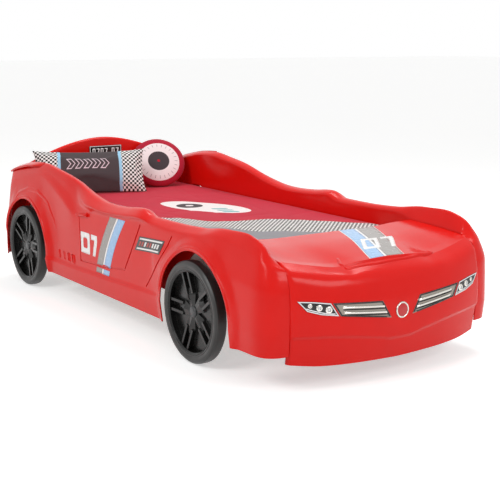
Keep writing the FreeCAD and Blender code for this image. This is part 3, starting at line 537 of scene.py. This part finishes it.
def bonnet_stickers():
    """The stripe slants across the bonnet and narrows forward; 07 stands on it, its foot to the front."""
    rear, front, slant, taper = 781.0, 1166.0, 0.413, 0.07
    edge_x, edge_y, taper_run = 829.0, 60.0, 337.0

    def edge(x, offset):
        return edge_y - slant * (x - edge_x) + offset * (1 - taper * (x - edge_x) / taper_run)

    for tone, first, last, material, lift in (("base", -5, 173, vinyl_white, 0.40),
                                              ("blue", 0, 70, vinyl_blue, 0.65),
                                              ("grey", 81, 168, vinyl_grey, 0.65)):
        bm = patch(46, max(2, int((last - first) / 8)), lambda a, b: (
            rear + a * (front - rear), edge(rear + a * (front - rear), first + b * (last - first))))
        stick(f"bonnet_stripe_{tone}", bm, bonnet, from_above, press_down, material, lift, 0)
    for glyph, bm, left, lean in (("zero", zero(84, 116, 20), -36, 0.66),
                                  ("seven", seven(64, 118, 21), 80, 0.50)):
        for vert in bm.verts:
            across, up = vert.co.x, vert.co.y
            vert.co = Vector((1.075 - up, left * mm + across + lean * up, 0))
        stick(f"bonnet_number_{glyph}", bm, bonnet, from_above, press_down, vinyl_white, 0.9)


bonnet_stickers()


# ---------------- bars and blocks of the dark side plates
plate_corners = [(179, 365), (396, 381), (437, 441), (223, 428)]  # X and Z of the plate's outline
block_count, block_first, block_pitch, block_width = 8, 0.09, 0.103, 0.062  # shares of its length


def plate_point(a, b):
    """A point of the side plate: a from 0 to 1 along it, b from 0 to 1 up it."""
    (foot_rear, foot_front, head_front, head_rear) = plate_corners
    low = [foot_rear[i] + a * (foot_front[i] - foot_rear[i]) for i in (0, 1)]
    high = [head_rear[i] + a * (head_front[i] - head_rear[i]) for i in (0, 1)]
    return [low[i] + b * (high[i] - low[i]) for i in (0, 1)]


def plate_stickers(side, word):
    """A white bar along the plate's foot and head, and a row of pale and red blocks between them."""
    flank, start, press = side_sheet(side)
    for name, low, high in (("foot", 0.09, 0.21), ("head", 0.79, 0.91)):
        bm = patch(20, 2, lambda a, b: plate_point(0.05 + 0.90 * a, low + b * (high - low)))
        stick(f"side_plate_{name}_bar_{word}", bm, flank, start, press, vinyl_white, 0.3, 0)
    pale, warm = [], []
    for i in range(block_count):
        first = block_first + i * block_pitch
        block = patch(3, 6, lambda a, b: plate_point(first + block_width * a, 0.33 + 0.34 * b))
        (pale if (i > 4) == (side < 0) or i in (2, 5) else warm).append(block)
    stick(f"side_plate_pale_blocks_{word}", joined(pale), flank, start, press, vinyl_white, 0.3, 0)
    stick(f"side_plate_warm_blocks_{word}", joined(warm), flank, start, press, vinyl_red, 0.3, 0)


for side, word in sides:
    plate_stickers(side, word)


# ---------------- mouldings of the shells
brow_line = [(-1105, 405), (-1050, 462), (-944, 493), (-821, 495), (-707, 453), (-646, 376), (-622, 320)]
handle_line = [(-396, 434), (-272, 453)]
louvre_foot, louvre_head, louvre_lean, louvre_rears = 197, 243, 10, (-600, -545, -490, -437)
lip_line = [(1094, -176), (1150, -206), (1176, -200), (1186, -50), (1180, 90), (1160, 226), (1126, 228)]
arch_roll_clear = 12.0  # from an arch's edge to the middle of its rolled edge


def moulding(path, width, crown, steps, taper=0.04):
    """A half-round moulding drawn flat along a path in mm. It fades out over a share `taper` at each end."""
    runs = [math.dist(p, q) for p, q in zip(path, path[1:])]
    total, reach = sum(runs), 12.0  # the path's direction is read over a stretch this long each way

    def on_path(distance):
        for (u0, v0), (u1, v1), run in zip(path, path[1:], runs):
            if distance <= run:
                return u0 + (u1 - u0) * distance / run, v0 + (v1 - v0) * distance / run
            distance -= run
        return path[-1]

    def place(a, b):
        u, v = on_path(a * total)
        u0, v0 = on_path(max(0.0, a * total - reach))
        u1, v1 = on_path(min(total, a * total + reach))
        run = math.hypot(u1 - u0, v1 - v0)
        out = (b - 0.5) * width
        fade = min(1.0, a / taper, (1 - a) / taper)
        return u - (v1 - v0) / run * out, v + (u1 - u0) / run * out, crown * math.sin(math.pi * b) * fade

    return patch(steps, 8, place)


def arch_path(x, longer_ahead):
    """A line just outside an arch's edge, from behind the wheel over its top to the front."""
    radius = arch_radius + arch_roll_clear
    turns = [math.radians(172 - 5.1 * i) for i in range(33)]
    return [(x + arch_shift + (radius + (longer_ahead if turn < math.pi / 2 else 0)) * math.cos(turn),
             axle_height + radius * math.sin(turn)) for turn in turns]


def mould_on(name, bm, surface, start, direction):
    """Lays a moulding on a shell in the shell's own plastic, its rim just under the surface."""
    raise_all(bm, -0.3)
    lay(bm, surface, start, direction)
    finish_piece(name, bm, glossy_red_abs)


def body_mouldings(side, word):
    """Rolled arch edges, the rear arch's brow, the door handle and the louvres of one flank."""
    raised = {  # width, crown, steps and taper of each
        "front_arch_roll": moulding(arch_path(x_front_axle, front_arch_reach), 16, 4.5, 90),
        "rear_arch_roll": moulding(arch_path(x_rear_axle, 0), 16, 4.5, 90),
        "rear_arch_brow": moulding(brow_line, 22, 3.5, 80, 0.15),
        "door_handle": moulding(handle_line, 20, 8.0, 24, 0.08),
        "louvres": joined([moulding([(x, louvre_head), (x + louvre_lean, louvre_foot)], 20, 5.0, 12, 0.15)
                           for x in louvre_rears]),
    }
    for name, bm in raised.items():
        mould_on(f"{name}_{word}", bm, *side_sheet(side))


for side, word in sides:
    body_mouldings(side, word)
mould_on("bonnet_lip", moulding(lip_line, 13, 5.5, 90), bonnet, from_above, press_down)


# ---------------- grilles, lamps, badge
# outlines of the left half, as Y and Z
grille_outline = [(50, 240), (270, 272), (300, 321), (89, 306)]
lamp_outline = [(277, 273), (345, 283), (398, 300), (431, 338), (372, 333), (307, 322)]
lamp_bulbs = ((316, 299, 13.5), (352, 309, 12.0), (386, 319, 8.5))  # Y, Z and radius


def inset_outline(points, amount):
    """The outline drawn in towards its middle by some millimetres at each corner."""
    centre = [sum(p[i] for p in points) / len(points) for i in (0, 1)]
    out = []
    for y, z in points:
        reach = math.hypot(y - centre[0], z - centre[1])
        out.append((y + (centre[0] - y) * amount / reach, z + (centre[1] - z) * amount / reach))
    return out


def on_nose(name, bm, side, material, lift_mm, thick_mm, cell_mm=0.0):
    """Lays a flat piece drawn for the left half on either half of the nose."""
    if cell_mm:
        cut_cells(bm, cell_mm * mm)
    bmesh.ops.scale(bm, vec=(side, 1, 1), verts=bm.verts)
    raise_all(bm, lift_mm)
    lay(bm, nose_face, from_front, press_back)
    piece = finish_piece(name, bm, material)
    add_modifier(piece, "SOLIDIFY", thickness=thick_mm * mm, offset=-1.0)


def grille_bar(foot, head, height):
    """A half-round bar from foot to head, drawn as a flat strip whose middle stands up."""
    def place(a, b):
        y = foot[0] + a * (head[0] - foot[0])
        z = foot[1] + a * (head[1] - foot[1]) + (b - 0.5) * height
        crown = math.sin(math.pi * b) ** 0.6 * min(1.0, 12 * a, 12 * (1 - a))
        return y, z, 4.2 * crown
    return patch(40, 8, place)


def disc(y, z, inner, outer, rings, around, height):
    """A round or ring-shaped piece about a point. height(a) is its rise, a from 0 inside to 1 outside."""
    bm = patch(rings, around, lambda a, b: (
        y + (inner + a * (outer - inner)) * math.cos(2 * math.pi * b),
        z + (inner + a * (outer - inner)) * math.sin(2 * math.pi * b), height(a)))
    bmesh.ops.remove_doubles(bm, verts=bm.verts, dist=0.05 * mm)
    return bm


def nose_details(side, word):
    """Grille surround and bars with black strips of painted shadow under them, and a lamp's bezel,
    reflectors, bulbs and running strip.
    """
    surround = polygon(inset_outline(grille_outline, 2.0), ring=5.0)
    upper, lower = grille_bar((78, 285.5), (262, 302), 10.0), grille_bar((68, 263), (256, 282.5), 10.0)
    # shade: a thin gloss black strip just below each bar, a painted shadow of the bar on the grille insert
    shade = joined([grille_bar((76, 277.5), (260, 294), 4.5), grille_bar((66, 255), (254, 274.5), 4.5)])
    bezel = polygon(inset_outline(lamp_outline, 1.5), ring=3.6)
    on_nose(f"grille_surround_{word}", surround, side, gloss_black, 1.6, 1.2, 8.0)
    on_nose(f"grille_bar_upper_{word}", upper, side, bright_metal, 0.4, 0.5)
    on_nose(f"grille_bar_lower_{word}", lower, side, bright_metal, 0.4, 0.5)
    on_nose(f"grille_bar_painted_shadow_{word}", shade, side, gloss_black, 0.2, 0.5)
    on_nose(f"lamp_bezel_{word}", bezel, side, white_lens, 1.8, 1.2, 8.0)
    eyes = joined([disc(y, z, 0.45 * radius, radius, 4, 24, lambda a: 2.2 * math.cos(a * 1.3))
                   for y, z, radius in lamp_bulbs])
    pupils = joined([disc(y, z, 0.0, 0.40 * radius, 4, 24, lambda a: 2.6 * math.cos(a * 1.3))
                     for y, z, radius in lamp_bulbs])
    on_nose(f"lamp_reflectors_{word}", eyes, side, bright_metal, 0.3, 0.4)
    on_nose(f"lamp_bulbs_{word}", pupils, side, white_lens, 0.3, 0.4)
    strip = patch(24, 2, lambda a, b: (292 + 108 * a, 281 + 27 * a ** 1.5 + 4.0 * b))
    on_nose(f"lamp_day_strip_{word}", strip, side, white_lens, 0.9, 0.6)


for side, word in sides:
    nose_details(side, word)


def badge():
    """A blank round badge: a bright rolled rim round a domed enamel field."""
    centre_z, radius, rim_width, edge = 262.0, 30.0, 6.0, 0.5
    rim = disc(0, centre_z, radius - edge, radius - rim_width - edge, 6, 48,
               lambda a: 2.2 * math.sin(math.pi * a))
    field = disc(0, centre_z, 0.0, radius - rim_width - 0.4, 8, 48, lambda a: 1.6 * (1 - a * a) + 0.3)
    on_nose("badge_rim", rim, 1, bright_metal, 0.3, 0.3)
    on_nose("badge_field", field, 1, enamel_red, 0.3, 0.3)


badge()


# ---------------- headboard plate
def head_plate():
    """A white border line and a row of plain figures, in two groups, on the headboard's plate."""
    low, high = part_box("number_plate")
    y0, y1, z0, z1 = low.y / mm, high.y / mm, low.z / mm, high.z / mm
    margin, figure_width, figure_height, figure_stroke = 2, 17, 28, 5
    figure_indent, figure_pitch, group_pitch = 17, 24, 42
    border = polygon([(y0 + margin, z0 + margin), (y1 - margin, z0 + margin), (y1 - margin, z1 - margin),
                      (y0 + margin, z1 - margin)], ring=3.0)
    stick("head_plate_border", border, head_face, from_bed, press_to_head, vinyl_white, 0.5, 14)
    glyphs = []
    left = y0 + figure_indent
    for i in range(6):
        draw = zero if i % 2 == 0 else seven
        glyphs.append(shifted(draw(figure_width, figure_height, figure_stroke), left,
                              (z0 + z1 - figure_height) / 2))
        left += group_pitch if i == 3 else figure_pitch  # the wider step parts the two groups
    stick("head_plate_numbers", joined(glyphs), head_face, from_bed, press_to_head, vinyl_white, 0.5, 6)


head_plate()


# ---------------- bedding
def signed_ellipse(x, y, cx, cy, rx, ry, turn):
    """Signed distance, near the outline, to a turned ellipse: positive inside."""
    c, s = math.cos(turn), math.sin(turn)
    u, v = ((x - cx) * c + (y - cy) * s) / rx, ((y - cy) * c - (x - cx) * s) / ry
    return (1 - math.hypot(u, v)) * min(rx, ry)


def signed_polygon(x, y, points):
    """Signed distance to a convex outline given anticlockwise: positive inside."""
    worst = 1e9
    for (x0, y0), (x1, y1) in zip(points, points[1:] + points[:1]):
        run = math.hypot(x1 - x0, y1 - y0)
        worst = min(worst, ((x1 - x0) * (y - y0) - (y1 - y0) * (x - x0)) / run)
    return worst


def between(value, points):
    """Straight-line reading of a few (position, value) pairs."""
    for (p0, v0), (p1, v1) in zip(points, points[1:]):
        if value <= p1:
            t = max(0.0, min(1.0, (value - p0) / (p1 - p0)))
            return v0 + (v1 - v0) * t
    return points[-1][1]


# the sash's two edges across the bed, as Y and X
sash_rear = [(-450, -260), (-237, -75), (-175, -30), (-134, 85), (-102, 135), (-24, 163), (30, 187),
             (129, 205), (186, 248), (298, 394), (450, 575)]
sash_front = [(-450, 150), (-224, 213), (-152, 298), (-91, 446), (31, 513), (168, 640), (267, 690),
              (450, 760)]
roundel_ellipse = (-245, 80, 258, 118, math.radians(21))  # middle, half axes and turn
dial_x, dial_y, dial_radius, dial_half_width = -318, 38, 42, 22
bar_rears, bar_y, bar_width, bar_lean = (-190, -140, -90), (75, 140), 30, 36


def float_attribute(mesh, name, values):
    """Gives every vertex a number that a material can read."""
    mesh.attributes.new(name, "FLOAT", "POINT").data.foreach_set("value", values)


def bedspread_print_and_shade(mesh):
    """Writes how far inside each printed motif, and inside the painted shade strip ahead of the sash, every
    vertex lies.
    """
    spots = [(v.co.x / mm, v.co.y / mm) for v in mesh.vertices]
    sash = [min(x - between(y, sash_rear), between(y, sash_front) - x) * mm for x, y in spots]
    # the painted shade strip: all the cloth ahead of the sash's front edge, painted grey as the shadow under
    # the bonnet's rear lip
    painted_gap_shade = [(x - between(y, sash_front)) * mm for x, y in spots]
    roundel = [signed_ellipse(x, y, *roundel_ellipse) * mm for x, y in spots]
    dial = [(dial_half_width - abs(math.hypot(x - dial_x, y - dial_y) - dial_radius)) * mm for x, y in spots]
    outlines = [[(rear, bar_y[0]), (rear + bar_width, bar_y[0]), (rear + bar_width + bar_lean, bar_y[1]),
                 (rear + bar_lean, bar_y[1])] for rear in bar_rears]
    bars = [max(signed_polygon(x, y, outline) for outline in outlines) * mm for x, y in spots]
    for name, values in (("sash", sash), ("painted_gap_shade", painted_gap_shade), ("roundel", roundel), ("dial", dial),
                         ("bars", bars)):
        float_attribute(mesh, name, values)


def make_bedspread():
    """A cotton spread laid over the mattress and tucked down at its sides, with soft creases."""
    drop, tuck_radius = 44.0, 12.0
    x0, x1 = mattress_x[0] + 4, mattress_x[1] - 1
    bm = bmesh.new()
    bmesh.ops.create_grid(bm, x_segments=190, y_segments=104, size=0.5)
    length, width = x1 - x0, 2 * half_width - 2

    def fold(distance, half):
        """How far out and how far down a point is, once the cloth has turned over the mattress's edge."""
        over_edge = abs(distance) - (half - tuck_radius)
        sign = 1 if distance > 0 else -1
        if over_edge <= 0:
            return distance, 0.0
        turn = min(over_edge / tuck_radius, math.pi / 2)
        straight = max(0.0, over_edge - tuck_radius * math.pi / 2)
        out = half - tuck_radius + tuck_radius * math.sin(turn)
        return sign * out, tuck_radius * (1 - math.cos(turn)) + straight

    reach = drop - tuck_radius + tuck_radius * math.pi / 2 - tuck_radius  # what hangs past the top
    for vert in bm.verts:
        a, b = vert.co.x * (length + 2 * reach), vert.co.y * (width + 2 * reach)
        x, down_x = fold(a, length / 2)
        y, down_y = fold(b, width / 2)
        down = max(down_x, down_y)
        x += (x0 + x1) / 2
        crease = noise.noise(Vector((x / 260, y / 150, 3.1)))  # broad waves, then narrower ones
        crease += 0.5 * noise.noise(Vector((x / 90, y / 120, 7.7)))
        ridge = abs(noise.noise(Vector((x / 420 + y / 300, y / 260 - x / 700, 1.3))))
        dip = 1.6 + 2.0 * max(-1, min(1, crease)) + 3.0 * (1 - min(1, 9 * ridge)) ** 2 * 0.5
        vert.co = Vector((x, y, bed_top - down - (max(0.2, dip) if down == 0 else 1.0))) * mm
    piece = finish_piece("bedspread_cotton", bm, crimson_bedspread())
    bedspread_print_and_shade(piece.data)
    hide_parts("bedspread")


make_bedspread()


def make_mattress():
    """A sprung mattress in quilted knit: diamonds on top, and rounded edges."""
    sunk, edge_radius, cell, diamond_pitch, dimple = 6 * mm, 24 * mm, 30 * mm, 120 * mm, 4 * mm
    low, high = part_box("mattress")
    bm = bmesh.new()
    bmesh.ops.create_cube(bm, size=1.0)
    bmesh.ops.scale(bm, vec=high - low - Vector((0, 0, sunk)), verts=bm.verts)
    bmesh.ops.bevel(bm, geom=bm.edges[:], offset=edge_radius, segments=5, profile=0.5, affect="EDGES",
                    material=-1)
    bmesh.ops.translate(bm, vec=(low + high) / 2 - Vector((0, 0, sunk / 2)), verts=bm.verts)
    for axis, normal in enumerate((Vector((1, 0, 0)), Vector((0, 1, 0)))):
        position = low[axis] + cell
        while position < high[axis] - edge_radius:
            bmesh.ops.bisect_plane(bm, geom=bm.verts[:] + bm.edges[:] + bm.faces[:],
                                   plane_co=normal * position, plane_no=normal)
            position += cell
    bm.normal_update()
    for vert in bm.verts:
        diamond = abs(math.sin((vert.co.x + vert.co.y) * math.pi / diamond_pitch)
                      * math.sin((vert.co.x - vert.co.y) * math.pi / diamond_pitch))
        vert.co -= vert.normal * (1 - diamond) * dimple * abs(vert.normal.z)
    piece = finish_piece("mattress_quilted", bm, mattress_knit())
    add_modifier(piece, "SUBSURF", levels=1, render_levels=1)
    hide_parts("mattress")


make_mattress()


def inflate(piece, pressure, pull_in, frames=20):
    """Lets a cushion's two panels swell under pressure, their seams drawn in by pull_in metres at most."""
    modifier = piece.modifiers.new("Swell", "CLOTH")
    settings = modifier.settings
    settings.quality = 8
    settings.mass = 0.25
    settings.tension_stiffness = settings.compression_stiffness = 18
    settings.shear_stiffness = 8
    settings.bending_stiffness = 0.6
    settings.use_pressure = True
    settings.uniform_pressure_force = pressure
    settings.effector_weights.gravity = 0
    for step in range(1, frames + 1):
        scene.frame_set(step)
    graph = bpy.context.evaluated_depsgraph_get()
    swollen = bpy.data.meshes.new_from_object(piece.evaluated_get(graph))
    for vert, new in zip(piece.data.vertices, swollen.vertices):
        across = Vector((new.co.x - vert.co.x, new.co.y - vert.co.y, 0))
        across *= min(1.0, pull_in / max(across.length, 1e-9))
        vert.co = Vector((vert.co.x + across.x, vert.co.y + across.y, new.co.z))
    piece.modifiers.remove(modifier)
    bpy.data.meshes.remove(swollen)
    scene.frame_set(1)


def panel_pair(nx, ny, outline):
    """Two panels sewn at their rim. outline(a, b), a and b from -1 to 1, gives a point and its height."""
    bm = bmesh.new()
    bmesh.ops.create_grid(bm, x_segments=nx, y_segments=ny, size=1.0)
    back = bmesh.ops.duplicate(bm, geom=bm.verts[:] + bm.edges[:] + bm.faces[:])["geom"]
    back_faces = [g for g in back if isinstance(g, bmesh.types.BMFace)]
    back_verts = {g for g in back if isinstance(g, bmesh.types.BMVert)}
    bmesh.ops.reverse_faces(bm, faces=back_faces)
    panel = bm.loops.layers.uv.new("panel")
    flat = {vert: outline(vert.co.x, vert.co.y) for vert in bm.verts}
    for face in bm.faces:
        for loop in face.loops:
            x, y, _ = flat[loop.vert]
            loop[panel].uv = (x, y)
    for vert, (x, y, height) in flat.items():
        vert.co = Vector((x, y, -height if vert in back_verts else height))
    bmesh.ops.remove_doubles(bm, verts=bm.verts, dist=0.0001)
    return bm


def seat_on_bed(mesh):
    """A filled piece goes flat where it rests on the bedspread."""
    floor, pressed = (bed_top + 0.5) * mm, 4 * mm  # what lies lower than `pressed` is flattened
    for vert in mesh.vertices:
        if vert.co.z < floor + pressed:
            vert.co.z = floor + max(0.0, (vert.co.z - floor)) * 0.5


def fit_local(mesh, size):
    """Scales a piece about its middle to the length, height and thickness of its CAD form."""
    co = [v.co for v in mesh.vertices]
    for axis in range(3):
        low, high = min(c[axis] for c in co), max(c[axis] for c in co)
        factor = size[axis] / (high - low)
        for c in co:
            c[axis] = (c[axis] - (low + high) / 2) * factor


def pose_cushion(mesh, node, lean, turn):
    """Stands a flat-made cushion up, leans and turns it, and sets it where its CAD form is."""
    stand = Matrix(((0, 0, 1), (1, 0, 0), (0, 1, 0))).to_4x4()  # length along +Y, front towards +X
    leant = Matrix.Rotation(math.radians(-lean), 4, "Y")
    mesh.transform(Matrix.Rotation(math.radians(turn), 4, "Z") @ leant @ stand)
    low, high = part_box(node)
    co = [v.co for v in mesh.vertices]
    middle = [(min(c[i] for c in co) + max(c[i] for c in co)) / 2 for i in range(3)]
    lowest = min(c.z for c in co)
    mesh.transform(Matrix.Translation(((low.x + high.x) / 2 - middle[0], (low.y + high.y) / 2 - middle[1],
                                       low.z - lowest - 1.5 * mm)))
    seat_on_bed(mesh)


cushion_turn = -22  # both cushions are turned this far towards the bed's right side, in degrees


def fill_and_lean(piece, node, size, lean, pressure, pull_in):
    """Swells a cushion by simulation, and leans it where its CAD form is."""
    inflate(piece, pressure, pull_in)
    fit_local(piece.data, size)
    pose_cushion(piece.data, node, lean, cushion_turn)
    add_modifier(piece, "SUBSURF", levels=1, render_levels=1)


def make_pillow():
    """A pillow whose edges draw in between its ears, its top edge most."""
    length, height, thickness = 0.590, 0.252, 0.118
    start_share = 0.28  # the cloth swells from a flatter start

    def outline(a, b):
        ear = (abs(a) * abs(b)) ** 4
        x = a * length / 2 * (1 - 0.035 * (1 - b * b)) * (1 + 0.02 * ear)
        y = b * height / 2 * (1 - (0.09 if b > 0 else 0.01) * (1 - a * a)) * (1 + 0.03 * ear)
        swell = max(0.0, (1 - a ** 4)) ** 0.7 * max(0.0, (1 - b ** 4)) ** 0.7
        return x, y, thickness * start_share * swell

    bm = panel_pair(84, 42, outline)
    piece = finish_piece("pillow_filled", bm, pillow_print())
    fill_and_lean(piece, "pillow", (length, height, thickness), lean=30, pressure=3.2, pull_in=0.007)
    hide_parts("pillow")


make_pillow()


def make_round_cushion():
    """A round cushion, its two panels' corners pulled out to one circle."""
    radius, thickness = 0.149, 0.088
    start_share = 0.4

    def outline(a, b):
        spread = max(abs(a), abs(b))
        reach = math.hypot(a, b) or 1.0
        x, y = a / reach * spread * radius, b / reach * spread * radius
        return x, y, thickness * start_share * max(0.0, 1 - spread ** 3.2) ** 0.62

    bm = panel_pair(56, 56, outline)
    piece = finish_piece("round_cushion_filled", bm, roundel_print())
    front = [1.0 if v.co.z >= -0.0001 else -1.0 for v in piece.data.vertices]
    float_attribute(piece.data, "front", front)
    fill_and_lean(piece, "round_cushion", (2 * radius, 2 * radius, thickness), lean=36, pressure=2.4,
                  pull_in=0.006)
    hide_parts("round_cushion")


make_round_cushion()


# ---------------- studio
def seen_directly(owner):
    """1 for what the camera sees itself, through glass or in a gloss, and 0 for what lights the bed."""
    path = add(owner, "LightPath")
    both = add(owner, "Math", {0: path.outputs["Is Camera Ray"], 1: path.outputs["Is Glossy Ray"]},
               operation="MAXIMUM")
    return add(owner, "Math", {0: both.outputs["Value"], 1: path.outputs["Is Transmission Ray"]},
               operation="MAXIMUM").outputs["Value"]


floor_glow, air_glow = 0.50, (0.50, 1.0)  # strengths: the air's lights the bed, then shows as white


def make_studio():
    """A pale floor, soft white air, and three softboxes."""
    floor_material, shader = new_material("studio_floor_paint", Roughness=0.9, IOR=1.4)
    place = add(floor_material, "TexCoord").outputs["Object"]
    cloud = add(floor_material, "TexNoise", {"Vector": place, "Scale": 0.7, "Detail": 4.0})
    link(floor_material, choose(floor_material, cloud.outputs["Fac"], srgb("E9E9E8"), srgb("EDEDEC")),
         shader.inputs["Base Color"])
    seen = seen_directly(floor_material)
    shader.inputs["Emission Color"].default_value = (1.0, 1.0, 1.0, 1.0)
    lift = add(floor_material, "Math", {0: seen, 1: floor_glow}, operation="MULTIPLY")
    link(floor_material, lift.outputs["Value"], shader.inputs["Emission Strength"])
    bm = bmesh.new()
    bmesh.ops.create_grid(bm, x_segments=8, y_segments=8, size=60.0)
    mesh = bpy.data.meshes.new("studio_floor")
    bm.to_mesh(mesh)
    bm.free()
    mesh.materials.append(floor_material)
    floor = bpy.data.objects.new("studio_floor", mesh)
    scene.collection.objects.link(floor)

    world = bpy.data.worlds.new("studio_air")
    scene.world = world
    world.use_nodes = True
    tree = world.node_tree
    sky = tree.nodes["Background"]
    sky.inputs["Color"].default_value = (1.0, 1.0, 1.0, 1.0)
    strength = add(world, "MapRange", {"Value": seen_directly(world), "To Min": air_glow[0],
                                       "To Max": air_glow[1]})
    tree.links.new(strength.outputs["Result"], sky.inputs["Strength"])

    def softbox(name, spot, target, width, height, watts):
        lamp = bpy.data.lights.new(name, "AREA")
        lamp.shape = "RECTANGLE"
        lamp.size, lamp.size_y, lamp.energy = width, height, watts
        thing = bpy.data.objects.new(name, lamp)
        thing.location = spot
        thing.rotation_euler = (Vector(target) - Vector(spot)).to_track_quat("-Z", "Y").to_euler()
        scene.collection.objects.link(thing)

    softbox("key_softbox", (1.2, -4.2, 3.6), (0.2, 0.0, 0.3), 2.4, 1.6, 90)
    softbox("front_softbox", (4.6, 1.0, 2.6), (0.8, 0.0, 0.3), 2.0, 1.4, 50)
    softbox("top_strip", (-0.4, 1.2, 3.8), (0.2, 0.0, 0.4), 3.4, 0.9, 60)


def make_camera():
    """The camera solved from the photograph: its place, and a lens from its focal length in pixels."""
    focal_pixels, photo_pixels = 1066.4, 500.0
    lens = bpy.data.cameras.new("photo_camera")
    lens.sensor_width = 36.0
    lens.lens = lens.sensor_width * focal_pixels / photo_pixels
    camera = bpy.data.objects.new("photo_camera", lens)
    azimuth, pitch = math.radians(56.2), math.radians(11.1)
    camera.location = (4.065, -2.546, 1.218)
    camera.rotation_euler = Euler((math.pi / 2 - pitch, 0.0, azimuth), "XYZ")
    scene.collection.objects.link(camera)
    scene.camera = camera


make_studio()
make_camera()
scene.view_settings.view_transform = "Standard"
